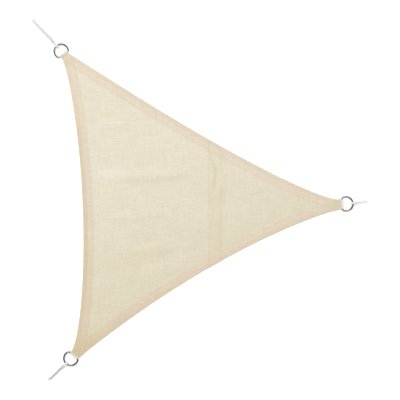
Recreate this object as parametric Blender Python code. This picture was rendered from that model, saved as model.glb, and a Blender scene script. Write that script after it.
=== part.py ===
"""A triangular shade sail, spread out flat with its face up.

Two panels of knitted shade cloth are joined by one upright lapped seam and
hemmed all round.  A webbing strap at each corner holds a D-ring, and a
doubled tie cord passes through each ring.

Metres, +Z up.  The cloth lies on Z = 0, +Y is the top of the sail, and the
origin is under the middle of the sail and its rings.
"""

import math
from collections import namedtuple

import bmesh
import bpy
import numpy as np
from mathutils import Vector
from mathutils.geometry import delaunay_2d_cdt, intersect_line_line_2d

MM = 0.001
GAP = 0.3 * MM  # between pieces that touch

# ---- the cloth ---------------------------------------------------------------
CLOTH_THICK = 1.0 * MM
HEM_WIDTH = 60 * MM
HEM_THICK = 2.0 * MM  # two layers
HEM_STEP = 5 * MM  # over this width the hem thins down to the single cloth
SEAM_LEFT, SEAM_RIGHT = 0.027, 0.110  # the upright lap where the two panels overlap
SEAM_DROP = 12 * MM  # the upper panel comes down to the floor this far past the lap
MESH_PITCH = 25 * MM  # spacing of the points in the cloth
MESH_CLEAR = 12 * MM  # the even grid of points keeps this far from edges and folds
MESH_MERGE = 0.5 * MM  # points closer than this become one
EDGE_STEPS = 76  # of each edge of the outline
HEM_STEPS = 120  # of each edge of a line that runs inside it
CURVE_STEPS = 12  # of a smooth curve between two of its points

# Each corner: the middle of the cloth's cut end, the way that end faces and its width,
# the way the ring hangs from it and how far it has slid to the left along the strap.
# Directions are in degrees from +X.
Corner = namedtuple("Corner", "name x y end_turn end_width ring_turn ring_slide")
CORNERS = (
    Corner("bottom_left", -0.787, -0.915, 233, 0.063, 229, -4 * MM),
    Corner("right", 0.834, 0.0035, 0, 0.066, 2, 1 * MM),
    Corner("top_left", -0.848, 0.913, 115, 0.052, 126, 4 * MM),
)

# Each corner's tie: the way it leaves the ring, how far to the left it crosses the wire and
# its free ends lie, half the distance between its two cords there, and their lengths.
Tie = namedtuple("Tie", "turn cross aside apart long_end short_end")
TIES = {
    "bottom_left": Tie(223.3, 2.9 * MM, 3.5 * MM, 4.2 * MM, 0.150, 0.139),
    "right": Tie(6, 0.5 * MM, -1 * MM, 5.2 * MM, 0.096, 0.090),
    "top_left": Tie(133.8, -1.7 * MM, -5.5 * MM, 4.9 * MM, 0.221, 0.215),
}

# Each edge curves inwards between two corners.  Its depth is the largest distance from
# the straight line, and the two powers say how steeply it leaves each end.
Edge = namedtuple("Edge", "start end depth start_power end_power")
EDGES = (
    Edge(0, 1, 0.086, 0.98, 0.82),
    Edge(1, 2, 0.0635, 0.54, 1.08),
    Edge(2, 0, 0.1025, 0.72, 0.64),
)

# The soft folds that stay in the cloth from its packing, and the puckers at the seam:
# the crest's height, how far its foot is from it on each side, and its route.
Fold = namedtuple("Fold", "height reach crest")
FOLDS = (
    Fold(4.5 * MM, 52 * MM, ((-0.680, 0.470), (-0.550, 0.492), (-0.380, 0.504))),
    Fold(7 * MM, 54 * MM, ((-0.690, 0.152), (-0.540, 0.168), (-0.300, 0.174), (0.000, 0.196))),
    Fold(4.5 * MM, 50 * MM, ((-0.660, -0.104), (-0.480, -0.074), (-0.330, -0.060), (-0.140, -0.036))),
    Fold(3.5 * MM, 48 * MM, ((-0.560, -0.272), (-0.300, -0.268), (-0.020, -0.250))),
    Fold(6 * MM, 56 * MM, ((-0.690, -0.474), (-0.520, -0.450), (-0.280, -0.400), (-0.055, -0.362))),
    Fold(4 * MM, 38 * MM, ((0.250, 0.070), (0.330, 0.092), (0.415, 0.130))),
    Fold(5 * MM, 22 * MM, ((0.042, 0.325), (0.060, 0.210), (0.050, 0.060))),
    Fold(5 * MM, 22 * MM, ((0.146, 0.170), (0.120, 0.100), (0.108, -0.030))),
)
FOLD_END = 0.4  # share of a crest over which it rises from the floor
FOLD_LINES = (-1, -0.5, 0, 0.5, 1)  # shares of the reach where the mesh follows a fold

# ---- the corner fittings -----------------------------------------------------
WIRE_RADIUS = 4.25 * MM  # of the D-ring's steel
BOW_RADIUS = 43 * MM  # of the ring's round side, to the middle of the wire
BOW_OFFSET = 22 * MM  # from the ring's straight bar to the middle of its bow
BEND_RADIUS = 8 * MM  # where the bar turns into the bow
BAR_AHEAD = 9 * MM  # from the cloth's end to the bar

STRAP_WIDTH = 57 * MM
STRAP_THICK = 1.5 * MM
STRAP_LEG = 40 * MM  # length sewn under the cloth
STRAP_PINCH = 8 * MM  # inside the cloth's end, where the strap's two legs meet
STRAP_RAMP = 32 * MM  # over this length the cloth comes down from the strap's end
STRAP_LANDING = 3 * MM  # the last part of that length, where the cloth is already flat
ACROSS_CORNER = 110 * MM  # half the length of a line drawn across a corner

CORD_RADIUS = 3.0 * MM
CORD_LANDING = 58 * MM  # from the ring, where the two cords have come down to the floor
CORD_SWAY = 1.2 * MM  # how far the two cords bow sideways on the floor
CORD_BEND = 0.3  # radians; where it turns more than this, its points are closer together
# How the cords come down: shares of the way to their landing, and of their height.
CORD_DROP = ((0.80, 0.07), (0.55, 0.30), (0.28, 0.70))
WIRE_APART = 3.3 * MM  # half the distance between the two cords on top of the wire
BIGHT_RADIUS = 4.6 * MM  # of the cord's U-turn, which lies on the floor under its ends
BIGHT_REACH = 14 * MM  # from under the wire to the U-turn
BIGHT_STEPS = 6

LOOP_CLEAR = 0.05 * MM  # from the floor to the strap's loop
BAR_HEIGHT = LOOP_CLEAR + STRAP_THICK + GAP + WIRE_RADIUS
TURN_STEPS = 6  # of the cord's half turn round the wire
TURN_RADIUS = (WIRE_RADIUS + CORD_RADIUS + 2.5 * GAP) / math.cos(math.pi / 2 / TURN_STEPS)
BOW_HEIGHT = TURN_RADIUS + CORD_RADIUS + GAP
RING_RISE = math.asin((BOW_HEIGHT - BAR_HEIGHT) / (BOW_OFFSET + BOW_RADIUS))

# ---- the finishes: colour, roughness, metallic -------------------------------
FINISHES = {
    "shade_cloth": ((0.79, 0.71, 0.55), 0.85, 0.0),
    "webbing": ((0.80, 0.79, 0.77), 0.75, 0.0),
    "steel": ((0.42, 0.42, 0.43), 0.25, 1.0),
    "cord": ((0.86, 0.86, 0.85), 0.7, 0.0),
}


# ---- small helpers -----------------------------------------------------------
def clear_scene():
    for thing in list(bpy.data.objects):
        bpy.data.objects.remove(thing, do_unlink=True)


def finish(name):
    """A new material with one of the named finishes."""
    colour, roughness, metallic = FINISHES[name]
    material = bpy.data.materials.new(name)
    material.use_nodes = True
    shader = material.node_tree.nodes["Principled BSDF"]
    shader.inputs["Base Color"].default_value = (*colour, 1.0)
    shader.inputs["Roughness"].default_value = roughness
    shader.inputs["Metallic"].default_value = metallic
    return material


def add_object(name, data, finish_name):
    thing = bpy.data.objects.new(name, data)
    data.materials.append(finish(finish_name))
    bpy.context.collection.objects.link(thing)
    return thing


def mesh_object(name, vertices, faces, finish_name):
    mesh = bpy.data.meshes.new(name)
    shape = bmesh.new()
    corners = [shape.verts.new(v) for v in vertices]
    for face in faces:
        shape.faces.new([corners[i] for i in face])
    shape.to_mesh(mesh)
    shape.free()
    return add_object(name, mesh, finish_name)


def tube_object(name, points, radius, roundness, closed, finish_name):
    """A round tube along the points, with 2 * roundness + 4 sides."""
    curve = bpy.data.curves.new(name, "CURVE")
    curve.dimensions = "3D"
    curve.bevel_depth = radius
    curve.bevel_resolution = roundness
    curve.use_fill_caps = True
    spline = curve.splines.new("POLY")
    spline.points.add(len(points) - 1)
    for slot, point in zip(spline.points, points):
        slot.co = (*point, 1.0)
    spline.use_cyclic_u = closed
    return add_object(name, curve, finish_name)


def direction(degrees):
    return Vector((math.cos(math.radians(degrees)), math.sin(math.radians(degrees))))


def left_of(vector):
    """The vector turned a quarter turn to the left."""
    return Vector((-vector.y, vector.x))


def fade(value):
    """0 up to 0, 1 from 1, and a smooth step between."""
    value = min(max(value, 0.0), 1.0)
    return value * value * (3 - 2 * value)


# ---- the sail's outline ------------------------------------------------------
def corner_middle(corner):
    return Vector((corner.x, corner.y))


def edge_ends(edge):
    """The edge's first and last point, at its two corners' cut ends."""
    first, last = CORNERS[edge.start], CORNERS[edge.end]
    start = corner_middle(first) + left_of(direction(first.end_turn)) * first.end_width / 2
    end = corner_middle(last) - left_of(direction(last.end_turn)) * last.end_width / 2
    return start, end


def edge_point(edge, share, inwards=0.0):
    """A point at a share of the edge's length, moved inwards at right angles."""

    def on_edge(t):
        t = min(max(t, 0.0), 1.0)
        peak = edge.start_power / (edge.start_power + edge.end_power)
        top = peak**edge.start_power * (1 - peak) ** edge.end_power
        depth = edge.depth * t**edge.start_power * (1 - t) ** edge.end_power / top
        start, end = edge_ends(edge)
        along = end - start
        return start + along * t + left_of(along).normalized() * depth

    here = on_edge(share)
    if inwards:
        nearby = 0.3 / EDGE_STEPS
        slope = on_edge(share + nearby) - on_edge(share - nearby)
        here = here + left_of(slope).normalized() * inwards
    return here


def edge_shares(steps):
    """Shares along an edge, closer together near its ends."""
    even = [i / steps for i in range(steps + 1)]
    return [0.5 * s + 0.25 * (1 - math.cos(math.pi * s)) for s in even]


def outline_points():
    """The cut outline, anticlockwise."""
    return [edge_point(edge, share) for edge in EDGES for share in edge_shares(EDGE_STEPS)]


def crossing(line_a, line_b):
    """Where two lines of points cross: the index in each, and the point."""
    for i in range(len(line_a) - 1):
        for j in range(len(line_b) - 1):
            point = intersect_line_line_2d(line_a[i], line_a[i + 1], line_b[j], line_b[j + 1])
            if point:
                return i, j, Vector(point)
    raise ValueError("the lines don't cross")


def inner_line(inwards):
    """The closed line that runs inside the outline at one distance from it."""
    shares = edge_shares(HEM_STEPS)
    lines = [[edge_point(edge, share, inwards) for share in shares] for edge in EDGES]
    cuts = [crossing(lines[i], lines[(i + 1) % 3]) for i in range(3)]
    closed = []
    for i, line in enumerate(lines):
        first, last = cuts[i - 1], cuts[i]
        run = [first[2]] + line[first[1] + 1 : last[0] + 1] + [last[2]]
        closed += evenly_spaced(run, MESH_PITCH)[:-1]
    return closed


def curve_through(route):
    """Many points of a smooth curve through the route's points."""
    fine = []
    ends = [2 * route[0] - route[1]] + route + [2 * route[-1] - route[-2]]
    for a, b, c, d in zip(ends, ends[1:], ends[2:], ends[3:]):
        spans = [max((q - p).length, 1e-6) ** 0.5 for p, q in ((a, b), (b, c), (c, d))]
        leave = (b - a) / spans[0] - (c - a) / (spans[0] + spans[1]) + (c - b) / spans[1]
        arrive = (c - b) / spans[1] - (d - b) / (spans[1] + spans[2]) + (d - c) / spans[2]
        leave, arrive = leave * spans[1], arrive * spans[1]
        for i in range(CURVE_STEPS):
            t = i / CURVE_STEPS
            fine.append(
                b * (2 * t**3 - 3 * t**2 + 1)
                + leave * (t**3 - 2 * t**2 + t)
                + c * (3 * t**2 - 2 * t**3)
                + arrive * (t**3 - t**2)
            )
    return fine + [route[-1]]


def evenly_spaced(line, pitch):
    """The line again, with its points about one pitch apart."""
    lengths = [0.0]
    for a, b in zip(line, line[1:]):
        lengths.append(lengths[-1] + (b - a).length)
    steps = max(1, round(lengths[-1] / pitch))
    places = [lengths[-1] * i / steps for i in range(steps + 1)]
    columns = [np.interp(places, lengths, [p[axis] for p in line]) for axis in range(len(line[0]))]
    return [Vector(values) for values in zip(*columns)]


# ---- the sail's height and thickness -----------------------------------------
def crest_line(fold, aside=0.0):
    """The fold's crest, or the line that runs beside it at a distance."""
    crest = evenly_spaced(curve_through([Vector(p) for p in fold.crest]), MESH_PITCH)
    if not aside:
        return crest
    ways = [b - a for a, b in zip(crest[:1] + crest, crest[1:] + crest[-1:])]
    return [point + left_of(way).normalized() * aside for point, way in zip(crest, ways)]


def segments(lines):
    """Where each straight piece of the lines starts, and how far it runs."""
    starts = np.array([tuple(a) for line in lines for a in line[:-1]])
    ends = np.array([tuple(b) for line in lines for b in line[1:]])
    return starts, ends - starts


def nearest_on(pieces, place):
    """The distance from a place to the nearest piece, and how many pieces lie before it."""
    starts, along = pieces
    share = np.clip(((place - starts) * along).sum(1) / (along**2).sum(1), 0, 1)
    away = np.linalg.norm(place - starts - along * share[:, None], axis=1)
    nearest = int(away.argmin())
    return away[nearest], nearest + share[nearest]


def fold_height(place, crests):
    """How far the folds lift the cloth off the floor."""
    height = 0.0
    for fold, crest in zip(FOLDS, crests):
        away, passed = nearest_on(crest, np.array(place))
        if away < fold.reach:
            share = passed / len(crest[0])
            ends = fade(share / FOLD_END) * fade((1 - share) / FOLD_END)
            height = max(height, fold.height * ends * fade(1 - away / fold.reach))
    return height


def strap_place(corner, place):
    """How far the place is inside the cloth's end, measured along the strap."""
    return (corner_middle(corner) - place).dot(direction(corner.ring_turn))


def strap_profile():
    """The middle line of the strap's section, from its lower leg round the bar to its
    upper leg: distances ahead of the cloth's end and heights."""
    turn = WIRE_RADIUS + GAP + STRAP_THICK / 2
    upper = 1.5 * STRAP_THICK + GAP
    reach = Vector((-STRAP_PINCH - BAR_AHEAD, upper - BAR_HEIGHT))
    leave = math.atan2(reach.y, reach.x) % math.tau - math.acos(turn / reach.length)
    steps = 10
    points = [(-STRAP_LEG, STRAP_THICK / 2), (-STRAP_PINCH, STRAP_THICK / 2)]
    for i in range(steps + 1):
        angle = -math.pi / 2 + (leave + math.pi / 2) * i / steps
        points.append((BAR_AHEAD + turn * math.cos(angle), BAR_HEIGHT + turn * math.sin(angle)))
    points += [(-STRAP_PINCH, upper), (-STRAP_LEG, upper)]
    return [Vector(p) for p in points]


def strap_lift(place):
    """How far a strap's sewn legs lift the cloth off the floor."""
    over = 2 * STRAP_THICK + 2 * GAP
    top_of_loop = strap_profile()[-3]
    slope = (top_of_loop.y - 1.5 * STRAP_THICK - GAP) / (top_of_loop.x + STRAP_PINCH)
    rise = math.hypot(1, slope) * (STRAP_THICK / 2 + GAP) - STRAP_THICK / 2 - GAP
    for corner in CORNERS:
        inside = strap_place(corner, place)
        if inside < STRAP_PINCH:
            return over + rise + slope * (STRAP_PINCH - inside)
        if inside < STRAP_LEG + STRAP_RAMP:
            near_end = over + rise * fade((STRAP_LEG - inside) / STRAP_LEG)
            left = STRAP_LEG + STRAP_RAMP - STRAP_LANDING - inside
            return near_end * fade(left / (STRAP_RAMP - STRAP_LANDING))
    return 0.0


# ---- the sail's mesh ---------------------------------------------------------
def corner_lines(outline):
    """Lines across each corner where the cloth bends over the strap."""
    lines = []
    ramp_end = STRAP_LEG + STRAP_RAMP
    places = (STRAP_PINCH, (STRAP_PINCH + STRAP_LEG) / 2, STRAP_LEG, (STRAP_LEG + ramp_end) / 2, ramp_end)
    for corner in CORNERS:
        outwards = direction(corner.ring_turn)
        side = left_of(outwards) * ACROSS_CORNER
        for place in places:
            middle = corner_middle(corner) - outwards * place
            lines.append(inside_part([middle - side, middle + side], outline))
    return lines


def inside_part(line, outline):
    """The part of a straight line that lies inside the outline, two points."""
    hits = []
    for a, b in zip(outline, outline[1:] + outline[:1]):
        point = intersect_line_line_2d(line[0], line[1], a, b)
        if point:
            hits.append(Vector(point))
    hits.sort(key=lambda p: (p - line[0]).length)
    return [hits[0], hits[-1]]


def cloth_lines(outline):
    """Every line, besides the outline, that the cloth's mesh has to follow."""
    lines = []
    for inwards in (HEM_WIDTH, HEM_WIDTH + HEM_STEP):
        line = inner_line(inwards)
        lines.append(line + line[:1])
    low = min(corner.y for corner in CORNERS)
    high = max(corner.y for corner in CORNERS)
    for x in (SEAM_LEFT, SEAM_RIGHT, SEAM_RIGHT + SEAM_DROP):
        lines.append(inside_part([Vector((x, low)), Vector((x, high))], outline))
    lines += corner_lines(outline)
    lines = [evenly_spaced(line, MESH_PITCH) for line in lines]
    for fold in FOLDS:
        lines += [crest_line(fold, fold.reach * share) for share in FOLD_LINES]
    return lines


def grid_points(lines):
    """An even grid of points over the lines that keeps clear of them."""
    pieces = segments(lines)
    low = pieces[0].min(0)
    high = pieces[0].max(0)
    points = []
    for x in np.arange(low[0], high[0], MESH_PITCH):
        for y in np.arange(low[1], high[1], MESH_PITCH):
            if nearest_on(pieces, np.array((x, y)))[0] > MESH_CLEAR:
                points.append(Vector((x, y)))
    return points


def cloth_triangles():
    """The whole sail as flat triangles: points, triangles, and each point's thickness."""
    outline = outline_points()
    lines = cloth_lines(outline)
    ring = list(range(len(outline)))
    points = list(outline)
    edges = list(zip(ring, ring[1:] + ring[:1]))
    for line in lines:
        first = len(points)
        points += line
        edges += [(i, i + 1) for i in range(first, len(points) - 1)]
    points += grid_points(lines + [outline + outline[:1]])
    inside_only = 1
    flat, _, found, *_ = delaunay_2d_cdt(points, edges, [], inside_only, MESH_MERGE)
    triangles = []
    for a, b, c in found:
        if (flat[b] - flat[a]).cross(flat[c] - flat[a]) > 0:
            triangles.append([a, b, c])
    single = inner_line(HEM_WIDTH + HEM_STEP / 2)
    thick = [CLOTH_THICK if is_inside(point, single) else HEM_THICK for point in flat]
    return flat, triangles, thick


def is_inside(point, outline):
    """Whether the point is inside the closed outline."""
    inside = False
    for a, b in zip(outline, outline[1:] + outline[:1]):
        if (a.y > point.y) != (b.y > point.y):
            if point.x < a.x + (b.x - a.x) * (point.y - a.y) / (b.y - a.y):
                inside = not inside
    return inside


def add_panel(name, flat, triangles, bottoms, tops):
    """One panel: a lower and an upper face of the same triangles, and a wall round them."""
    used = sorted({i for triangle in triangles for i in triangle})
    low = {i: n for n, i in enumerate(used)}
    high = {i: n + len(used) for n, i in enumerate(used)}
    vertices = [(flat[i].x, flat[i].y, bottoms[i]) for i in used]
    vertices += [(flat[i].x, flat[i].y, tops[i]) for i in used]
    faces = [[high[i] for i in t] for t in triangles]
    faces += [[low[i] for i in reversed(t)] for t in triangles]
    sides = {(a, b) for t in triangles for a, b in zip(t, t[1:] + t[:1])}
    rim = sorted(side for side in sides if (side[1], side[0]) not in sides)
    faces += [[low[a], low[b], high[b], high[a]] for a, b in rim]
    return mesh_object(name, vertices, faces, "shade_cloth")


def add_cloth():
    """The two panels.  The right one laps over the left one along the seam."""
    flat, triangles, thick = cloth_triangles()
    crests = [segments([crest_line(fold)]) for fold in FOLDS]
    floor = [max(fold_height(place, crests), strap_lift(place)) for place in flat]
    tops = [height + layer for height, layer in zip(floor, thick)]
    lapped = []
    for point, height, top in zip(flat, floor, tops):
        on_lap = point.x < SEAM_RIGHT + MESH_MERGE
        lapped.append(top + GAP if on_lap else height)
    lapped_tops = [height + layer for height, layer in zip(lapped, thick)]

    def middle_x(triangle):
        return sum(flat[i].x for i in triangle) / 3

    left = [t for t in triangles if middle_x(t) < SEAM_RIGHT]
    right = [t for t in triangles if middle_x(t) > SEAM_LEFT]
    add_panel("panel_left", flat, left, floor, tops)
    add_panel("panel_right", flat, right, lapped, lapped_tops)


# ---- the corner fittings -----------------------------------------------------
def corner_frame(corner):
    """The strap's and ring's own axes: the cloth's end, outwards and sideways."""
    outwards = direction(corner.ring_turn)
    return corner_middle(corner), outwards, left_of(outwards)


def add_strap(corner):
    """A webbing strap round the ring's bar, with both legs under the cloth."""
    middle, outwards, sideways = corner_frame(corner)
    line = strap_profile()
    inner, outer = [], []
    for i, point in enumerate(line):
        before, after = line[max(i - 1, 0)], line[min(i + 1, len(line) - 1)]
        arms = [(b - a).normalized() for a, b in ((before, point), (point, after)) if a != b]
        across = left_of(sum(arms, Vector((0, 0)))).normalized()
        half = STRAP_THICK / 2 / across.dot(left_of(arms[0]))
        inner.append(point + across * half)
        outer.append(point - across * half)
    vertices = []
    for side in (-STRAP_WIDTH / 2, STRAP_WIDTH / 2):
        for section in (inner, outer):
            for point in section:
                place = middle + outwards * point.x + sideways * side
                vertices.append((place.x, place.y, point.y))
    count = len(line)
    a, b, c, d = (range(i * count, (i + 1) * count) for i in range(4))
    faces = []
    for i in range(count - 1):
        faces.append([a[i], b[i], b[i + 1], a[i + 1]])
        faces.append([c[i], c[i + 1], d[i + 1], d[i]])
        faces.append([a[i], a[i + 1], c[i + 1], c[i]])
        faces.append([b[i], d[i], d[i + 1], b[i + 1]])
    faces.append([a[0], c[0], d[0], b[0]])
    faces.append([a[-1], b[-1], d[-1], c[-1]])
    strap = mesh_object(f"strap_{corner.name}", vertices, faces, "webbing")
    shape = bmesh.new()
    shape.from_mesh(strap.data)
    bmesh.ops.recalc_face_normals(shape, faces=shape.faces)
    shape.to_mesh(strap.data)
    shape.free()


def ring_line():
    """The D-ring's wire: distances ahead of the bar and to the side."""
    inner = BOW_RADIUS - BEND_RADIUS
    bend_side = math.sqrt(inner**2 - (BOW_OFFSET - BEND_RADIUS) ** 2)
    bow_end = math.atan2(bend_side, BEND_RADIUS - BOW_OFFSET)
    points = []
    bow_steps, bend_steps, bar_steps = 26, 4, 3
    for i in range(bow_steps + 1):
        angle = -bow_end + 2 * bow_end * i / bow_steps
        points.append((BOW_OFFSET + BOW_RADIUS * math.cos(angle), BOW_RADIUS * math.sin(angle)))
    for side in (1, -1):
        bend = []
        for i in range(1, bend_steps + 1):
            angle = bow_end + (math.pi - bow_end) * i / bend_steps
            ahead = BEND_RADIUS + BEND_RADIUS * math.cos(angle)
            bend.append((ahead, side * (bend_side + BEND_RADIUS * math.sin(angle))))
        if side == 1:
            points += bend
            points += [(0, bend_side * (1 - 2 * i / bar_steps)) for i in range(1, bar_steps)]
        else:
            points += bend[::-1]
    return points


def add_ring(corner):
    """A D-ring with its bar in the strap and its bow raised on the cord beneath it."""
    middle, outwards, sideways = corner_frame(corner)
    bar_middle = middle + outwards * BAR_AHEAD + sideways * corner.ring_slide
    points = []
    for ahead, side in ring_line():
        place = bar_middle + outwards * ahead * math.cos(RING_RISE) + sideways * side
        points.append((place.x, place.y, BAR_HEIGHT + ahead * math.sin(RING_RISE)))
    tube_object(f"ring_{corner.name}", points, WIRE_RADIUS, 3, True, "steel")


def tie_half(tie, end, left):
    """Half of a doubled cord, from its free end over the ring's wire, down through the ring
    and back under the wire: distances beyond the wire, to the side, and heights."""
    floor = CORD_RADIUS + GAP
    top = BOW_HEIGHT + TURN_RADIUS
    half = []
    for i in range(4):
        ahead = end + (CORD_LANDING - end) * i / 3
        sway = CORD_SWAY * math.sin(math.pi * i / 3)
        half.append((ahead, tie.aside + left * tie.apart + sway, floor))
    for share, rise in CORD_DROP:
        middle = tie.cross + (tie.aside - tie.cross) * share
        apart = WIRE_APART + (tie.apart - WIRE_APART) * share
        half.append((share * CORD_LANDING, middle + left * apart, floor + rise * (top - floor)))
    for i in range(TURN_STEPS + 1):
        turn = math.pi * i / TURN_STEPS
        side = tie.cross + left * (WIRE_APART + (BIGHT_RADIUS - WIRE_APART) * i / TURN_STEPS)
        bow_curves = side**2 / (2 * BOW_RADIUS)
        ahead = -TURN_RADIUS * math.sin(turn) - bow_curves
        half.append((ahead, side, BOW_HEIGHT + TURN_RADIUS * math.cos(turn)))
    return half


def tie_route(tie):
    """The doubled cord from its long end to its short end, with the U-turn between them."""
    bight = []
    for i in range(BIGHT_STEPS + 1):
        turn = math.pi * (i / BIGHT_STEPS - 0.5)
        side = tie.cross + BIGHT_RADIUS * math.sin(turn)
        bight.append((BIGHT_REACH + BIGHT_RADIUS * math.cos(turn), side, CORD_RADIUS + GAP))
    there = tie_half(tie, tie.long_end, -1)
    back = tie_half(tie, tie.short_end, 1)[::-1]
    return [Vector(p) for p in there + bight + back]


def tube_line(route, pitch):
    """Points for a tube along the smooth curve through the route: about one pitch apart,
    and closer where it bends."""
    fine = curve_through(route)
    kept = [fine[0]]
    for i in range(1, len(fine) - 1):
        step = fine[i] - kept[-1]
        bend = step.angle(fine[i + 1] - fine[i], 0.0)
        if step.length > pitch or (bend > CORD_BEND and step.length > pitch / 5):
            kept.append(fine[i])
    if (fine[-1] - kept[-1]).length < pitch / 3:
        kept.pop()
    return kept + [fine[-1]]


def add_tie(corner):
    """One doubled cord that holds the ring's wire, its two halves side by side."""
    middle, outwards, sideways = corner_frame(corner)
    bow_ahead = BAR_AHEAD + BOW_OFFSET * math.cos(RING_RISE)
    bow_middle = middle + outwards * bow_ahead + sideways * corner.ring_slide
    tie = TIES[corner.name]
    pull = direction(tie.turn)
    across = left_of(pull)
    points = []
    for point in tube_line(tie_route(tie), 5 * CORD_RADIUS):
        place = bow_middle + pull * (BOW_RADIUS + point.x) + across * point.y
        points.append((place.x, place.y, point.z))
    tube_object(f"tie_{corner.name}", points, CORD_RADIUS, 2, False, "cord")


def main():
    clear_scene()
    add_cloth()
    for corner in CORNERS:
        add_strap(corner)
        add_ring(corner)
        add_tie(corner)


main()
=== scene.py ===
"""The looks of a triangular shade sail that lies spread out flat with its face up.

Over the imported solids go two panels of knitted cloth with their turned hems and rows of
stitches, three webbing straps, three D-rings and three braided tie cords.

Metres, +Z up.  The cloth lies on Z = 0 and +Y is the top of the sail.
"""

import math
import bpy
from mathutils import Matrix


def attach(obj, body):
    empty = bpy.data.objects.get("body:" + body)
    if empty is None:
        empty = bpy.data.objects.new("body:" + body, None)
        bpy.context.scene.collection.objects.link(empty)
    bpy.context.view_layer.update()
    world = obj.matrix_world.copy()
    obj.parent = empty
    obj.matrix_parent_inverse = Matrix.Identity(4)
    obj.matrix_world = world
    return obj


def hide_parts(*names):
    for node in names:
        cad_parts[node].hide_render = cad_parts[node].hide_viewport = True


bl_info = {
    "name": "Shade Sail",
    "version": (1, 0, 0),
    "blender": (4, 5, 0),
    "location": "View3D > Sidebar > Shade Sail",
    "description": "Knitted cloth, sewing, webbing, D-rings and tie cords of a triangular shade sail",
    "category": "Object",
}

from collections import namedtuple

import bpy
import numpy as np
from bpy.props import FloatProperty, FloatVectorProperty, IntProperty, PointerProperty
from bpy.types import Operator, Panel, PropertyGroup
from mathutils import Vector, kdtree, noise
from mathutils.geometry import delaunay_2d_cdt

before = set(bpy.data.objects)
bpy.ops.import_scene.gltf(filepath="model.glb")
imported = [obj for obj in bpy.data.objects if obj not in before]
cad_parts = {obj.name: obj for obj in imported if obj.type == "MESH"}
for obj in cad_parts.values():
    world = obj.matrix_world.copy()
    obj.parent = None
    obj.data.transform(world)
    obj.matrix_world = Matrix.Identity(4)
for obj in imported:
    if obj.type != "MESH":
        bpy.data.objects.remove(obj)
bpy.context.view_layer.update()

MM = 0.001
GAP = 0.3 * MM  # between pieces that touch

# ---- the sail's cut ----------------------------------------------------------
# Each corner: the middle of the cloth's cut end, the way that end faces and its width,
# the way the ring hangs from it and how far it has slid to the left along the strap.
# Directions are in degrees from +X.
Corner = namedtuple("Corner", "name x y end_turn end_width ring_turn ring_slide")
CORNERS = (
    Corner("bottom_left", -0.787, -0.915, 233, 0.063, 229, -4 * MM),
    Corner("right", 0.834, 0.0035, 0, 0.066, 2, 1 * MM),
    Corner("top_left", -0.848, 0.913, 115, 0.052, 126, 4 * MM),
)

# Each corner's tie: the way it leaves the ring, how far to the left it crosses the wire and
# its free ends lie, half the distance between its two cords there, and their lengths.
Tie = namedtuple("Tie", "turn cross aside apart long_end short_end")
TIES = {
    "bottom_left": Tie(223.3, 2.9 * MM, 3.5 * MM, 4.2 * MM, 0.150, 0.139),
    "right": Tie(6, 0.5 * MM, -1 * MM, 5.2 * MM, 0.096, 0.090),
    "top_left": Tie(133.8, -1.7 * MM, -5.5 * MM, 4.9 * MM, 0.221, 0.215),
}

# Each edge curves inwards between two corners.  Its depth is the largest distance from
# the straight line, and the two powers say how steeply it leaves each end.
Edge = namedtuple("Edge", "start end depth start_power end_power")
EDGES = (
    Edge(0, 1, 0.086, 0.98, 0.82),
    Edge(1, 2, 0.0635, 0.54, 1.08),
    Edge(2, 0, 0.1025, 0.72, 0.64),
)
EDGE_STEPS = 240
EDGE_NEARBY = 0.004  # share of an edge over which its slope is taken

SINGLE_THICK = 1.0 * MM
HEM_THICK = 2.0 * MM  # two layers
HEM_STEP = 4.5 * MM  # over this width the hem comes down to the single cloth
SEAM_LEFT, SEAM_RIGHT = 0.027, 0.110  # the upright lap where the two panels overlap
SEAM_DROP = 12 * MM  # the upper panel comes down to the floor this far past the lap
RIM_ROUND = 1.5 * MM  # from a folded edge to the flat of the cloth
RIM_LINES = (0.5 * MM, 1.5 * MM)  # where the mesh follows that rounding
RIM_THICK = 0.3  # share of the thickness that is left at a folded edge
RIM_PITCH = 20 * MM  # from point to point of the outline that the rounding is measured from
LATTICE_CLEAR = 0.6  # share of the mesh's pitch that is kept clear round its lines
MERGED = 0.05 * MM  # mesh points closer than this become one

# The broad folds that stay in the cloth from its packing, and the puckers at the seam: a
# height, how far the flanks reach and the points of the crest, all in millimetres.
Fold = namedtuple("Fold", "height reach crest")
FOLDS = [
    Fold(height * MM, reach * MM, np.array(crest) * MM)
    for height, reach, *crest in (
        (4.5, 52, (-680, 470), (-550, 492), (-380, 504)),
        (7, 54, (-690, 152), (-540, 168), (-300, 174), (0, 196)),
        (4.5, 50, (-660, -104), (-480, -74), (-330, -60), (-140, -36)),
        (3.5, 48, (-560, -272), (-300, -268), (-20, -250)),
        (6, 56, (-690, -474), (-520, -450), (-280, -400), (-55, -362)),
        (4, 38, (250, 70), (330, 92), (415, 130)),
        (5, 22, (42, 325), (60, 210), (50, 60)),
        (5, 22, (146, 170), (120, 100), (108, -30)),
    )
]
FOLD_END = 0.4  # share of a crest over which it rises

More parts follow.
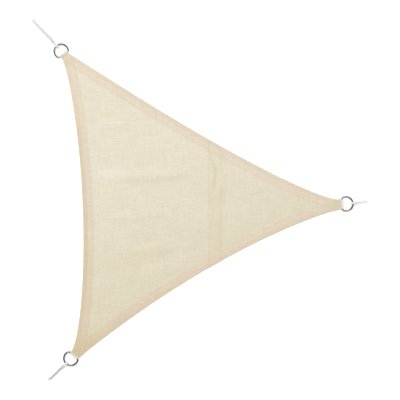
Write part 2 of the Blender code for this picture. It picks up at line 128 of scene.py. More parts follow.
# The small creases and uneven patches on top of them: a height, or a depth below 0, how far the flanks
# reach, how much lighter or darker the yarn is painted there, which is painted light and painted shade on
# the crests, in the troughs and in broad patches, and the points of the route.  The painted light and shade
# is a share, and the rest is in millimetres.
Crease = namedtuple("Crease", "height reach tint route")
CREASES = [
    Crease(height * MM, reach * MM, tint, np.array(route) * MM)
    for height, reach, tint, *route in (
        (-0.50, 11, -0.30, (-658, 550), (-554, 538), (-444, 541)),
        (0.40, 16, 0.35, (-720, 480), (-585, 486), (-424, 508)),
        (0.45, 8, 0.25, (-560, 560), (-470, 566), (-380, 590)),
        (-0.45, 8, -0.25, (-580, 510), (-480, 524), (-360, 528)),
        (-0.33, 12, -0.15, (-634, 352), (-585, 328), (-530, 309)),
        (-0.44, 22, -0.35, (-444, 279), (-402, 254), (-341, 236)),
        (0.45, 26, 0.60, (-690, 178), (-573, 192), (-440, 204)),
        (-0.30, 14, -0.35, (-634, 126), (-481, 135), (-176, 163), (37, 169)),
        (-0.33, 10, -0.20, (-219, 99), (-146, 102), (-78, 96)),
        (-0.33, 20, -0.25, (-316, 10), (-261, -2), (-200, -8)),
        (-0.33, 20, -0.15, (-573, 10), (-524, -8), (-463, -20)),
        (0.40, 9, 0.25, (-524, -87), (-390, -63), (-280, -45), (-200, -38)),
        (-0.33, 10, -0.20, (-640, -121), (-536, -99), (-426, -81)),
        (-0.38, 11, -0.20, (-353, -93), (-292, -78), (-225, -57)),
        (-0.33, 18, -0.20, (-390, -167), (-341, -203), (-286, -234)),
        (-0.33, 14, -0.15, (-97, -57), (-66, -75), (-42, -105)),
        (-0.30, 30, -0.40, (-690, -345), (-460, -325), (-230, -295), (-40, -265)),
        (-0.40, 12, -0.30, (-634, -447), (-499, -435), (-353, -411)),
        (0.45, 24, 0.45, (-700, -500), (-512, -475), (-298, -430), (-85, -374)),
        (-0.33, 8, -0.25, (-182, -276), (-97, -267), (-5, -270)),
        (-0.70, 9, -0.90, (21, 360), (44, 285), (60, 224), (66, 163), (64, 60)),
        (-0.70, 9, -1.00, (138, 185), (120, 125), (106, 78), (96, -20)),
        (0.20, 16, 0.50, (85, 235), (92, 150), (86, 60)),
        (0.00, 14, -0.30, (44, 210), (46, 80), (48, -90)),
        (0.00, 17, -0.30, (100, 10), (99, -120), (99, -290)),
        (0.00, 24, -0.32, (-720, -400), (-520, -388), (-300, -370)),
        (0.00, 40, -0.35, (-720, -540), (-640, -620), (-580, -700)),
        (0.00, 60, 0.32, (-330, -350), (-120, -310), (80, -260)),
        (0.00, 75, 0.22, (-450, -50), (50, -40), (500, -20)),
        (0.00, 52, -0.65, (-810, -940), (-735, -845), (-640, -740)),
        (0.00, 60, 0.50, (-300, -640), (-30, -470), (220, -330)),
        (0.00, 15, 0.80, (-847, -870), (-787, -915), (-727, -960)),
        (0.00, 14, 0.40, (834, -72), (834, 4), (834, 79)),
        (0.00, 28, 1.20, (-780, 945), (-848, 913), (-916, 881)),
        (0.22, 9, 0.30, (4, -81), (7, -167), (10, -234)),
        (-0.44, 16, -0.30, (300, 132), (324, 102), (355, 78)),
        (0.44, 13, 0.25, (342, 71), (373, 90), (403, 114)),
    )
]
FOLD_PITCH, CREASE_PITCH = 20 * MM, 12 * MM  # from point to point along their smooth routes
SLACK = 1.2 * MM  # how far the cloth between the hems stands off the floor
STRAP_TAUT = 2 * MM  # where a strap lifts the cloth this far, no fold is left in it
# Soft uneven waves in the cloth and in its hems: their height, length and seed.
BROAD_RIPPLE = (0.5 * MM, 0.09, 1)
SMALL_RIPPLE = (0.2 * MM, 0.03, 2)
HEM_RIPPLE = (0.35 * MM, 0.022, 3)
HEM_RIPPLE_REACH = 1.3  # hem widths from the edge to where the hem's waves end

# ---- the corner fittings' sizes ----------------------------------------------
WIRE_RADIUS = 4.25 * MM  # of the D-ring's steel
BOW_RADIUS = 43 * MM  # of the ring's round side, to the middle of the wire
BOW_OFFSET = 22 * MM  # from the ring's straight bar to the middle of its bow
BEND_RADIUS = 8 * MM  # where the bar turns into the bow
BAR_AHEAD = 9 * MM  # from the cloth's end to the bar

STRAP_WIDTH = 57 * MM
STRAP_THICK = 1.5 * MM
STRAP_LEG = 40 * MM  # length sewn under the cloth
STRAP_PINCH = 8 * MM  # inside the cloth's end, where the strap's two legs meet
STRAP_RAMP = 32 * MM  # over this length the cloth comes down from the strap's end
STRAP_LANDING = 3 * MM  # the last part of that length, where the cloth is already flat
LOOP_CLEAR = 0.05 * MM  # from the floor to the strap's loop

CORD_RADIUS = 3.0 * MM
CORD_LANDING = 58 * MM  # from the ring, where the two cords have come down to the floor
CORD_SWAY = 1.2 * MM  # how far the two cords bow sideways on the floor
# How the cords come down: shares of the way to their landing, and of their height.
CORD_DROP = ((0.80, 0.07), (0.55, 0.30), (0.28, 0.70))
WIRE_APART = 3.3 * MM  # half the distance between the two cords on top of the wire
BIGHT_RADIUS = 4.6 * MM  # of the cord's U-turn, which lies on the floor under its ends
BIGHT_REACH = 14 * MM  # from under the wire to the U-turn
BIGHT_STEPS = 6
CURVE_STEPS = 12  # of a smooth curve between two of its points
MELT_REACH = 3 * MM  # at a cord's free end
# How grey each tie is painted, near its ring and at its free ends: painted shade, most on the bottom left
# tie.
PAINTED_TIE_SHADE = {"bottom_left": (0.62, 0.66), "right": (0.0, 0.0), "top_left": (0.70, 0.44)}
UNSHADED_REACH = 8 * MM  # from the ring, where a tie has no painted shade yet
SHADE_RISE = 20 * MM  # over this length its painted shade grows to its full grey
# Where each ring's wire is painted near black, as painted dark reflections: degrees from the middle of its
# bow, half the length in degrees, and how dark.
PAINTED_DARK_REFLECTIONS = {
    "bottom_left": ((-62, 45, 1.0), (92, 42, 1.0)),
    "right": ((0, 60, 1.0),),
    "top_left": ((-85, 32, 0.75), (-26, 16, 0.7), (80, 24, 0.6)),
}
DARK_REFLECTION_EDGE = 20  # degrees over which it begins and ends

RIB_DEPTH = 0.10  # share of the strap's thickness that is lost between its cross ribs
BRAID_CORE = 0.47  # radius of the round core under the braid's relief, in cord diameters
MELT_TAPER = 0.45  # how much thinner the cord is at its melted end

BAR_HEIGHT = LOOP_CLEAR + STRAP_THICK + GAP + WIRE_RADIUS
TURN_STEPS = 6  # of the cord's half turn round the wire
TURN_RADIUS = (WIRE_RADIUS + CORD_RADIUS + 2.5 * GAP) / math.cos(math.pi / 2 / TURN_STEPS)
BOW_HEIGHT = TURN_RADIUS + CORD_RADIUS + GAP
RING_RISE = math.asin((BOW_HEIGHT - BAR_HEIGHT) / (BOW_OFFSET + BOW_RADIUS))

# ---- the rows of stitches ----------------------------------------------------
HEM_ROWS = (3 * MM, 9 * MM)  # from the hem's inner edge to its two rows of stitches
EDGE_ROW = 5 * MM  # from the cloth's edge to the outer row
SEAM_ROWS = (4 * MM, 11 * MM)  # from each side of the seam's lap to its two rows
SEAM_ROW_END = 4 * MM  # from the cloth's edge to the end of a seam's row
BOX_ENDS = (-5 * MM, -36 * MM)  # of a corner's box, ahead of the cloth's end
BOX_HALF = 19 * MM  # half the box's width
HEM_ROW_PITCH, SEAM_ROW_PITCH = 8 * MM, 10 * MM  # of the lines that the rows are measured from
ROW_PITCH = 4 * MM  # from point to point of a row
THREAD_RISE = 0.15  # thread widths from the cloth up to the thread's middle
THREAD_FLAT = 0.8  # height of the thread, in thread widths

# ---- the view ----------------------------------------------------------------
VIEW_MIDDLE = (-0.0236, 0.0287)  # the point of the floor at the picture's middle
VIEW_WIDTH = 2.44  # metres of floor across the picture
VIEW_REACH = 100  # metres that the camera sees
FLOOR_DROP = 0.5 * MM  # the floor lies this far under the lowest cloth
FLOOR_HALF = 30.0  # half the floor's width
KEY_PLACE, KEY_AIM, KEY_SIZE = (-4.0, 6.5, 14.0), (-0.1, 0.0, 0.0), 6.0  # of the main light
PINNED_SEED = 7

# ---- tints, which a finish is multiplied by ----------------------------------
LAP_TINT = (0.955, 0.91, 0.79, 1.0)  # cloth over cloth in the seam's lap
PAINTED_SHADE_TINT = (0.95, 0.92, 0.85, 1.0)  # painted shade: the darkest colour painted in a crease or a dark patch
PAINTED_LIGHT_TINT = (1.06, 1.08, 1.11, 1.0)  # painted light: the palest colour painted on a crease or a light patch
CORNER_TINT = (0.946, 0.938, 0.884, 1.0)  # where two hems cross
HOLE_TINT = (0.93, 0.95, 1.0, 1.0)  # the knit's holes, where the floor shows through
SECOND_LAYER_AND_SHADE_TINT = (0.80, 0.76, 0.70, 1.0)  # the same over a second layer: its cream seen through, darkened as painted shade
MELTED_TONE = (0.70, 0.66, 0.56, 1.0)  # a cord's melted end

# ---- the patterns' sizes -----------------------------------------------------
BAR_PITCH = 12.4 * MM  # of the faint bars that groups of wales or courses make
WARP_PITCH = 1.25 * MM  # of the webbing's warp yarns, two to each
FLAT = (1.0, 1.0, 0.0)  # stretches a pattern upwards without an end


# ---- settings ----------------------------------------------------------------
def length_setting(name, description, metres):
    return FloatProperty(name=name, description=description, default=metres, unit="LENGTH")


def colour_setting(name, description, colour):
    return FloatVectorProperty(name=name, description=description, default=colour, subtype="COLOR")


class ClothSettings(PropertyGroup):
    """The knitted cloth and its hems."""

    mesh_pitch: length_setting("Mesh pitch", "Spacing of the points in the cloth", 5.5 * MM)
    hem_width: length_setting("Hem width", "Width of the turned hem", 60 * MM)
    wale: length_setting("Wale", "Distance from one column of loops to the next", 3.4 * MM)
    course: length_setting("Course", "Distance from one row of loops to the next", 2.6 * MM)
    colour: colour_setting("Cloth colour", "Colour of one layer", (0.722, 0.666, 0.530))
    # painted shade: the cloth's colour at the bottom and right, where the light's falloff is painted in
    falloff_shade_colour: colour_setting("Warm cloth colour", "Colour of the lower cloth", (0.683, 0.616, 0.463))
    hem_colour: colour_setting("Hem colour", "Colour of two layers", (0.722, 0.632, 0.502))
    # the hem's colour for its turned-in strip and left side, and painted shade at the bottom and right
    deep_and_shaded_hem_colour: colour_setting("Warm hem colour", "Colour of the lower hems", (0.637, 0.525, 0.364))


class SewingSettings(PropertyGroup):
    """The rows of stitches."""

    pitch: length_setting("Stitch pitch", "Distance from one stitch to the next", 4.4 * MM)
    length: length_setting("Stitch length", "Length of the thread that shows", 3.6 * MM)
    thread: length_setting("Thread width", "Width of the sewing thread", 0.9 * MM)
    colour: colour_setting("Thread colour", "Colour of the thread", (0.74, 0.66, 0.52))


class FittingSettings(PropertyGroup):
    """The webbing straps and the D-rings."""

    rib_pitch: length_setting("Rib pitch", "Distance between the webbing's cross ribs", 2.2 * MM)
    webbing_colour: colour_setting("Webbing colour", "Colour of the webbing", (0.74, 0.73, 0.71))
    # darker than bare steel: painted dark reflection over the whole wire
    steel_and_dark_reflection_colour: colour_setting("Steel colour", "Colour of the polished wire", (0.27, 0.265, 0.255))
    # painted dark reflection: the colour of the wire's near black lengths
    dark_reflection_colour: colour_setting("Dull colour", "Colour of the wire's dull lengths", (0.046, 0.041, 0.038))


class TieSettings(PropertyGroup):
    """The braided tie cords."""

    strands: IntProperty(
        name="Strands",
        description="Strands that wind each way round the cord, an even number",
        default=8,
        min=4,
    )
    lay: length_setting("Lay", "Length of cord in which one strand crosses the next", 2.4 * MM)
    colour: colour_setting("Cord colour", "Colour of the cord", (0.84, 0.84, 0.83))
    # painted shade: the tie's colour where its painted shade is full
    painted_shade_colour: colour_setting("Soiled colour", "Colour of the cord's greyest parts", (0.42, 0.42, 0.41))


class StageSettings(PropertyGroup):
    """The floor, the light and the lens."""

    lens: FloatProperty(name="Lens", description="Focal length in millimetres", default=100.0, min=20.0)
    floor_colour: colour_setting("Floor colour", "Colour of the floor", (0.97, 0.97, 0.97))
    floor_glow: FloatProperty(
        name="Floor glow", description="How much the lit table shines by itself", default=0.12
    )
    key_power: FloatProperty(
        name="Key light", description="Power of the top left light", default=1150.0, unit="POWER"
    )
    world_level: FloatProperty(
        name="World light", description="Strength of the light all round", default=0.72
    )


class SailSettings(PropertyGroup):
    """Everything about the sail that can be set."""

    cloth: PointerProperty(type=ClothSettings)
    sewing: PointerProperty(type=SewingSettings)
    fittings: PointerProperty(type=FittingSettings)
    ties: PointerProperty(type=TieSettings)
    stage: PointerProperty(type=StageSettings)


# ---- small helpers -----------------------------------------------------------
def direction(degrees):
    return np.array([math.cos(math.radians(degrees)), math.sin(math.radians(degrees))])


def left_of(vectors):
    """The vectors turned a quarter turn to the left."""
    return np.stack([-vectors[..., 1], vectors[..., 0]], axis=-1)


def unit(vectors):
    return vectors / np.linalg.norm(vectors, axis=-1, keepdims=True)


def fade(value):
    """0 up to 0, 1 from 1, and a smooth step between."""
    value = np.clip(value, 0.0, 1.0)
    return value * value * (3 - 2 * value)


def lengths_along(line):
    """How far along the line each of its points is."""
    return np.concatenate([[0.0], np.cumsum(np.linalg.norm(np.diff(line, axis=0), axis=1))])


def evenly_spaced(line, pitch):
    """The line again, with its points about one pitch apart."""
    line = np.asarray(line, float)
    lengths = lengths_along(line)
    places = np.linspace(0.0, lengths[-1], max(1, round(lengths[-1] / pitch)) + 1)
    return np.stack([np.interp(places, lengths, column) for column in line.T], axis=1)


def curve_through(route):
    """Many points of a smooth curve through the route's points."""
    route = np.asarray(route, float)
    ends = np.concatenate([[2 * route[0] - route[1]], route, [2 * route[-1] - route[-2]]])
    fine = []
    for a, b, c, d in zip(ends, ends[1:], ends[2:], ends[3:]):
        spans = [max(np.linalg.norm(q - p), 1e-6) ** 0.5 for p, q in ((a, b), (b, c), (c, d))]
        leave = (b - a) / spans[0] - (c - a) / (spans[0] + spans[1]) + (c - b) / spans[1]
        arrive = (c - b) / spans[1] - (d - b) / (spans[1] + spans[2]) + (d - c) / spans[2]
        leave, arrive = leave * spans[1], arrive * spans[1]
        for i in range(CURVE_STEPS):
            t = i / CURVE_STEPS
            fine.append(
                b * (2 * t**3 - 3 * t**2 + 1)
                + leave * (t**3 - 2 * t**2 + t)
                + c * (3 * t**2 - 2 * t**3)
                + arrive * (t**3 - t**2)
            )
    return np.array(fine + [route[-1]])


def nearest(points, line):
    """How far each point is from the line, and how far along the line, as a share."""
    starts, along = line[:-1], np.diff(line, axis=0)
    squares = (along**2).sum(1)
    away = np.empty(len(points))
    passed = np.empty(len(points))
    batch = 4000
    for first in range(0, len(points), batch):
        part = slice(first, first + batch)
        offsets = points[part, None, :] - starts[None]
        share = np.clip((offsets * along).sum(2) / squares, 0, 1)
        gaps = np.linalg.norm(offsets - along * share[..., None], axis=2)
        best = gaps.argmin(1)
        rows = np.arange(len(best))
        away[part] = gaps[rows, best]
        passed[part] = (best + share[rows, best]) / len(along)
    return away, passed


# ---- nodes -------------------------------------------------------------------
class Number:
    """A number that a node gives.  Its sums, products and so on are made of Math nodes."""

    def __init__(self, socket):
        self.socket = socket

    def __add__(self, other):
        return maths("ADD", self, other)

    def __sub__(self, other):
        return maths("SUBTRACT", self, other)

    def __rsub__(self, other):
        return maths("SUBTRACT", other, self)

    def __mul__(self, other):
        return maths("MULTIPLY", self, other)

    def __truediv__(self, other):
        return maths("DIVIDE", self, other)

    def __pow__(self, power):
        return maths("POWER", self, power)

    def __abs__(self):
        return maths("ABSOLUTE", self)


def socket_of(value):
    return value.socket if isinstance(value, Number) else value


def tree_of(*values):
    """The node tree that the first socket among the values belongs to."""
    sockets = [socket_of(value) for value in values]
    return next(value.id_data for value in sockets if isinstance(value, bpy.types.NodeSocket))


def add_node(tree, kind, inputs=None, **settings):
    """A new node with its settings.  Each input gets a value, or a link if it is a socket."""
    made = tree.nodes.new(kind)
    for name, value in settings.items():
        setattr(made, name, value)
    for name, value in (inputs or {}).items():
        value = socket_of(value)
        if isinstance(value, bpy.types.NodeSocket):
            tree.links.new(value, made.inputs[name])
        else:
            made.inputs[name].default_value = value
    return made


def from_node(tree, kind, inputs=None, **settings):
    """The first output of a new node."""
    return add_node(tree, kind, inputs, **settings).outputs[0]


def maths(operation, *values):
    """The result of a Math node."""
    inputs = dict(enumerate(values))
    return Number(from_node(tree_of(*values), "ShaderNodeMath", inputs, operation=operation))


def mapped(value, low, high, to_low=0.0, to_high=1.0):
    """The value carried over smoothly from one range to another."""
    inputs = {"Value": value, "From Min": low, "From Max": high, "To Min": to_low, "To Max": to_high}
    return Number(from_node(tree_of(value), "ShaderNodeMapRange", inputs, interpolation_type="SMOOTHSTEP"))


def mixed(share, first, second, blend="MIX"):
    """Two colours mixed by a share."""
    inputs = {0: share, 6: first, 7: second}
    tree = tree_of(share, first, second)
    return add_node(tree, "ShaderNodeMix", inputs, data_type="RGBA", blend_type=blend).outputs[2]


def multiplied(share, tone, tint):
    """The tone, with a share of it multiplied by the tint."""
    return mixed(share, tone, mixed(1.0, tone, tint, "MULTIPLY"))


def shaded(tone, level):
    """The tone made lighter or darker, around 1."""
    return from_node(tree_of(tone), "ShaderNodeHueSaturation", {"Color": tone, "Value": level})


def rgba(colour, factor=1.0):
    return (*(min(1.0, channel * factor) for channel in colour), 1.0)


def speckle(place, scale, detail=3.0, stretch=(1.0, 1.0, 1.0)):
    """Noise around 0.5, drawn out along the axes where the stretch is small."""
    tree = tree_of(place)
    spread = from_node(tree, "ShaderNodeMapping", {"Vector": place, "Scale": stretch})
    inputs = {"Vector": spread, "Scale": scale, "Detail": detail, "Roughness": 0.6}
    return Number(add_node(tree, "ShaderNodeTexNoise", inputs).outputs["Fac"])


def axes_of(vector):
    parts = add_node(tree_of(vector), "ShaderNodeSeparateXYZ", {0: vector})
    return [Number(axis) for axis in parts.outputs]


def read_attribute(tree, name):
    return Number(add_node(tree, "ShaderNodeAttribute", attribute_name=name).outputs["Fac"])


def new_material(name, roughness, **constants):
    """A material with its shader, the shader's constant values and its object coordinates."""
    material = bpy.data.materials.new(name)
    material.use_nodes = True
    tree = material.node_tree
    shader = tree.nodes["Principled BSDF"]
    shader.inputs["Roughness"].default_value = roughness
    for name_of, value in constants.items():
        shader.inputs[name_of.replace("_", " ")].default_value = value
    place = add_node(tree, "ShaderNodeTexCoord").outputs["Object"]
    return material, tree, shader, place


def finish_shader(shader, tone, height, strength, distance):
    """Gives the shader its colour and its bump."""
    tree = tree_of(tone)
    inputs = {"Height": height, "Strength": strength, "Distance": distance}
    tree.links.new(tone, shader.inputs["Base Color"])
    tree.links.new(from_node(tree, "ShaderNodeBump", inputs), shader.inputs["Normal"])


# ---- materials ---------------------------------------------------------------
def knit_height(axes, wander, cloth):
    """The knit's height from 0 in its holes to 1: columns of loops, and flat tapes across."""
    across = axes[0] / cloth.wale + wander * 1.6
    along = axes[1] / cloth.course + wander * 1.2
    turn = across * math.tau
    loops = abs(maths("SINE", along * math.pi))
    column = (maths("COSINE", turn) * 0.5 + 0.5) * (loops * 0.35 + 0.65)
    swing = maths("SINE", turn) * 0.16
    tape = maths("COSINE", (along + swing) * math.tau)
    return maths("MAXIMUM", column, tape * 0.4 + 0.4)


def layer_tone(tree, axes, cloth):
    """The cloth's colour and the share of a second layer: deeper in the hems and the lap, and deeper
    and warmer in the hem's turned-in outer strip and the left hem.  Towards the bottom and the right of the
    sail the cloth and its hems are painted darker and warmer, painted shade of the light's falloff."""
    x, y = axes[:2]
    # painted shade: darker and warmer towards the bottom and the right, the light's falloff
    falloff_shade = mapped(x * 0.40 - y * 0.9, -0.45, 0.45)
    single = mixed(falloff_shade, rgba(cloth.colour), rgba(cloth.falloff_shade_colour))

    edge_away = read_attribute(tree, "edge_away")
    hem = mapped(edge_away, cloth.hem_width + 11 * MM, cloth.hem_width - 5 * MM)
    left_hem = mapped(x, -0.35, -0.65) * mapped(y, 0.75, 0.35) * mapped(y, -0.75, -0.35)
    turned_in = mapped(edge_away, 33 * MM, 22 * MM) * (left_hem * 0.30 + 0.26)
    # painted shade: hems darker and warmer towards the bottom and the right, the light's falloff, besides
    # their turned-in strip and the left hem
    hem_depth_and_falloff_shade = mapped(y, 0.15, -1.1) * 0.77 + turned_in + left_hem * 0.14
    hem_depth_and_falloff_shade = hem_depth_and_falloff_shade + mapped(x, 0.1, 0.75) * 0.13
    double = mixed(hem_depth_and_falloff_shade, rgba(cloth.hem_colour), rgba(cloth.deep_and_shaded_hem_colour))
    crossing_away = read_attribute(tree, "crossing_away")
    corner = mapped(crossing_away, cloth.hem_width + 8 * MM, cloth.hem_width - 12 * MM)
    double = multiplied(corner, double, CORNER_TINT)

    in_lap = mapped(x, SEAM_LEFT - 2 * MM, SEAM_LEFT + 3 * MM)
    in_lap = in_lap * mapped(x, SEAM_RIGHT + 3 * MM, SEAM_RIGHT - 3 * MM)
    from_middle = abs(x - (SEAM_LEFT + SEAM_RIGHT) / 2)
    lap = in_lap * (mapped(from_middle, 24 * MM, 34 * MM) * 0.10 + 0.14)
    tone = multiplied(lap, mixed(hem, single, double), LAP_TINT)
    return tone, maths("MAXIMUM", hem, in_lap)


def yarn_shade(place, axes, wander):
    """How much lighter or darker the yarns are, around 1: streaks along and across, and
    patches where groups of wales or courses stand out as faint bars."""
    shade = 1.0
    for stretch, scale, amount in (
        ((11.0, 85.0, 0.0), 1.0, 0.19),
        ((85.0, 9.0, 0.0), 1.0, 0.15),
        (FLAT, 8.0, 0.06),
        (FLAT, 75.0, 0.18),
    ):
        shade = (speckle(place, scale, 2.0, stretch) - 0.5) * amount + shade
    for axis, offset in ((0, 0.0), (1, 7.3)):
        inputs = {"Vector": place, "Location": (offset, offset, 0.0)}
        moved = from_node(tree_of(place), "ShaderNodeMapping", inputs)
        patch = mapped(speckle(moved, 11.0, 1.0, FLAT), 0.52, 0.66)
        turn = axes[axis] * (math.tau / BAR_PITCH) + wander * 9.0
        shade = maths("SINE", turn) * patch * 0.028 + shade
    return shade


def cloth_material(cloth):
    """Knitted shade cloth with uneven yarn, deeper where it lies double."""
    material, tree, shader, place = new_material(
        "knitted_cloth", 0.82, Sheen_Weight=0.12, Sheen_Roughness=0.6
    )
    axes = axes_of(place)
    wander = speckle(place, 28.0, 2.0, FLAT)
    knit = knit_height(axes, wander, cloth)
    tone, layers = layer_tone(tree, axes, cloth)
    tone = shaded(tone, yarn_shade(place, axes, wander))
    # painted light on crests and light patches, painted shade in troughs and dark patches
    tint = read_attribute(tree, "tint")
    tone = multiplied(maths("MAXIMUM", tint, 0.0), tone, PAINTED_LIGHT_TINT)
    tone = multiplied(maths("MAXIMUM", tint * -1.0, 0.0), tone, PAINTED_SHADE_TINT)
    hole = mapped(knit, 0.42, 0.16) * 0.5
    tone = multiplied(hole, tone, mixed(layers, HOLE_TINT, SECOND_LAYER_AND_SHADE_TINT))
    fibres = speckle(place, 1500.0, 2.0)
    crinkle = speckle(place, 1.0, 3.0, (13.0, 42.0, 0.0))
    height = fibres * 0.12 + knit + crinkle * 2.2
    finish_shader(shader, tone, height, 0.35, 0.35 * MM)
    return material


def thread_material(sewing):
    """Twisted sewing thread."""
    material, _, shader, place = new_material("sewing_thread", 0.7, Sheen_Weight=0.2)
    twist = speckle(place, 900.0, 2.0)
    patches = speckle(place, 35.0, 2.0)
    tone = mixed(twist * 0.5 + patches * 0.5, rgba(sewing.colour, 0.82), rgba(sewing.colour, 1.14))
    finish_shader(shader, tone, twist, 0.5, 0.1 * MM)
    return material


def webbing_material(fittings):
    """Ribbed webbing: its warp yarns run along the strap, in the strap's own UV map. Its colour is painted
    darker between the warp yarns and between the cross ribs, as painted shade in those grooves.
    """
    material, tree, shader, place = new_material("ribbed_webbing", 0.72, Sheen_Weight=0.15)
    axes = axes_of(from_node(tree, "ShaderNodeUVMap", uv_map="strap"))
    rib = axes[0] * (math.tau / fittings.rib_pitch)
    warp = abs(maths("SINE", axes[1] * (math.tau / WARP_PITCH) + maths("SINE", rib)))
    soil = speckle(place, 60.0)
    fibres = speckle(place, 1400.0, 2.0)
    painted_rib_shade = maths("COSINE", rib) * -0.14 + 0.92
    # painted shade between the warp yarns and between the ribs, with random soil
    level = warp**0.6 * (soil * 0.3 + 0.85) * painted_rib_shade
    tone = mixed(level, rgba(fittings.webbing_colour, 0.62), rgba(fittings.webbing_colour, 1.1))
    finish_shader(shader, tone, fibres * 0.25 + warp, 0.6, 0.25 * MM)
    return material


def steel_material(fittings):
    """Polished wire with fine drawing marks. Some lengths are painted near black and made rougher: painted
    dark reflections.
    """
    material, tree, shader, place = new_material("polished_steel", 0.2, Metallic=1.0)
    patches = speckle(place, 55.0, 4.0)
    scratches = speckle(place, 700.0, 3.0, (1.0, 1.0, 4.0))
    painted_dark_reflection = read_attribute(tree, "painted_dark_reflection")
    tone = mixed(patches, rgba(fittings.steel_and_dark_reflection_colour, 0.85), rgba(fittings.steel_and_dark_reflection_colour, 1.15))
    tone = mixed(painted_dark_reflection, tone, rgba(fittings.dark_reflection_colour))
    rough = scratches * 0.06 + mapped(patches, 0.3, 0.7, 0.10, 0.24) + painted_dark_reflection * 0.14
    tree.links.new(rough.socket, shader.inputs["Roughness"])
    finish_shader(shader, tone, scratches, 0.12, 0.05 * MM)
    return material


def cord_material(ties):
    """Braided cord: pale strands, painted darker in the valleys between them and lighter on their crowns as
    painted shade and light, greyer along a tie where painted shade is laid, and greyer at the melted end.
    """
    material, tree, shader, place = new_material("braided_cord", 0.6, Sheen_Weight=0.25)
    crown, melt, painted_shade = (read_attribute(tree, name) for name in ("crown", "melt", "painted_shade"))
    fibres = speckle(place, 1300.0, 2.0)
    soil = speckle(place, 40.0)
    # painted shade in the valleys and painted light on the crowns; the greyer colour is painted shade along
    # the tie
    painted_valley_shade = mixed(painted_shade, rgba(ties.colour, 0.52), rgba(ties.painted_shade_colour, 0.55))
    top = mixed(painted_shade, rgba(ties.colour, 1.06), rgba(ties.painted_shade_colour, 1.1))
    tone = mixed(mapped(crown, 0.05, 0.7), painted_valley_shade, top)
    tone = shaded(tone, fibres * 0.12 + soil * 0.16 + 0.86)
    tone = mixed(mapped(melt, 0.3, 1.0), tone, MELTED_TONE)
    finish_shader(shader, tone, fibres, 0.4, 0.12 * MM)
    return material


# ---- mesh and object helpers -------------------------------------------------
def mesh_object(name, vertices, faces, material, edges=()):
    mesh = bpy.data.meshes.new(name)
    mesh.from_pydata([tuple(v) for v in vertices], list(edges), faces)
    mesh.validate()
    if faces:
        mesh.shade_smooth()
    if material:
        mesh.materials.append(material)
    piece = bpy.data.objects.new(name, mesh)
    bpy.context.scene.collection.objects.link(piece)
    return piece


def add_values(mesh, name, values):
    """A number for each point of the mesh, for its material or its node tree."""
    mesh.attributes.new(name, "FLOAT", "POINT").data.foreach_set("value", np.asarray(values, np.float32))


def place_piece(piece, slot, *nodes):
    """Lets the piece ride with the sail in place of the nodes that it stands for."""
    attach(piece, "root")
    if nodes:
        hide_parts(*nodes)


def made_by_tree(name, vertices, edges, values, tree, inputs):
    """A plain mesh that a geometry node tree makes from lines of points."""
    host = mesh_object(name + "_lines", vertices, [], None, edges)
    for value_name, numbers in values.items():
        add_values(host.data, value_name, numbers)
    modifier = host.modifiers.new(tree.name, "NODES")
    modifier.node_group = tree
    items = [item for item in tree.interface.items_tree if item.item_type == "SOCKET"]
    sockets = {item.name: item.identifier for item in items}
    for input_name, value in inputs.items():
        modifier[sockets[input_name]] = value
    graph = bpy.context.evaluated_depsgraph_get()
    mesh = bpy.data.meshes.new_from_object(host.evaluated_get(graph), depsgraph=graph)
    mesh.name = name
    lines = host.data
    bpy.data.objects.remove(host)
    bpy.data.meshes.remove(lines)
    piece = bpy.data.objects.new(name, mesh)
    bpy.context.scene.collection.objects.link(piece)
    return piece


def new_tree(name, **inputs):
    """A geometry node tree with named inputs, and its two end nodes."""
    tree = bpy.data.node_groups.new(name, "GeometryNodeTree")
    for way in ("INPUT", "OUTPUT"):
        tree.interface.new_socket("Geometry", in_out=way, socket_type="NodeSocketGeometry")
    for input_name, default in inputs.items():
        kind = "NodeSocketInt" if isinstance(default, int) else "NodeSocketFloat"
        item = tree.interface.new_socket(input_name, in_out="INPUT", socket_type=kind)
        item.default_value = default
    tree.interface.new_socket("Material", in_out="INPUT", socket_type="NodeSocketMaterial")
    entry = tree.nodes.new("NodeGroupInput")
    leave = tree.nodes.new("NodeGroupOutput")
    return tree, entry.outputs, leave.inputs


def even_curve(tree, entry):
    """The lines that come in, as curves with their points one pitch apart."""
    curve = from_node(tree, "GeometryNodeMeshToCurve", {"Mesh": entry["Geometry"]})
    inputs = {"Curve": curve, "Length": entry["Pitch"]}
    return from_node(tree, "GeometryNodeResampleCurve", inputs, mode="LENGTH")


def stored(geometry, name, value):
    """The geometry with a number kept at each of its points."""
    inputs = {"Geometry": geometry, "Name": name, "Value": value}
    settings = {"data_type": "FLOAT", "domain": "POINT"}
    return from_node(tree_of(geometry), "GeometryNodeStoreNamedAttribute", inputs, **settings)


def kept_number(tree, name):
    inputs = {"Name": name}
    return Number(from_node(tree, "GeometryNodeInputNamedAttribute", inputs, data_type="FLOAT"))


def end_tree(tree, geometry, entry, leave):
    """Real geometry, smooth, with the material on it."""
    real = from_node(tree, "GeometryNodeRealizeInstances", {"Geometry": geometry})
    smooth = from_node(tree, "GeometryNodeSetShadeSmooth", {"Geometry": real})
    inputs = {"Geometry": smooth, "Material": entry["Material"]}
    tree.links.new(from_node(tree, "GeometryNodeSetMaterial", inputs), leave["Geometry"])


# ---- the sail's outline ------------------------------------------------------
def corner_middle(corner):
    return np.array([corner.x, corner.y])


def edge_ends(edge):
    """The edge's first and last point, at its two corners' cut ends."""
    first, last = CORNERS[edge.start], CORNERS[edge.end]
    start = corner_middle(first) + left_of(direction(first.end_turn)) * first.end_width / 2
    end = corner_middle(last) - left_of(direction(last.end_turn)) * last.end_width / 2
    return start, end


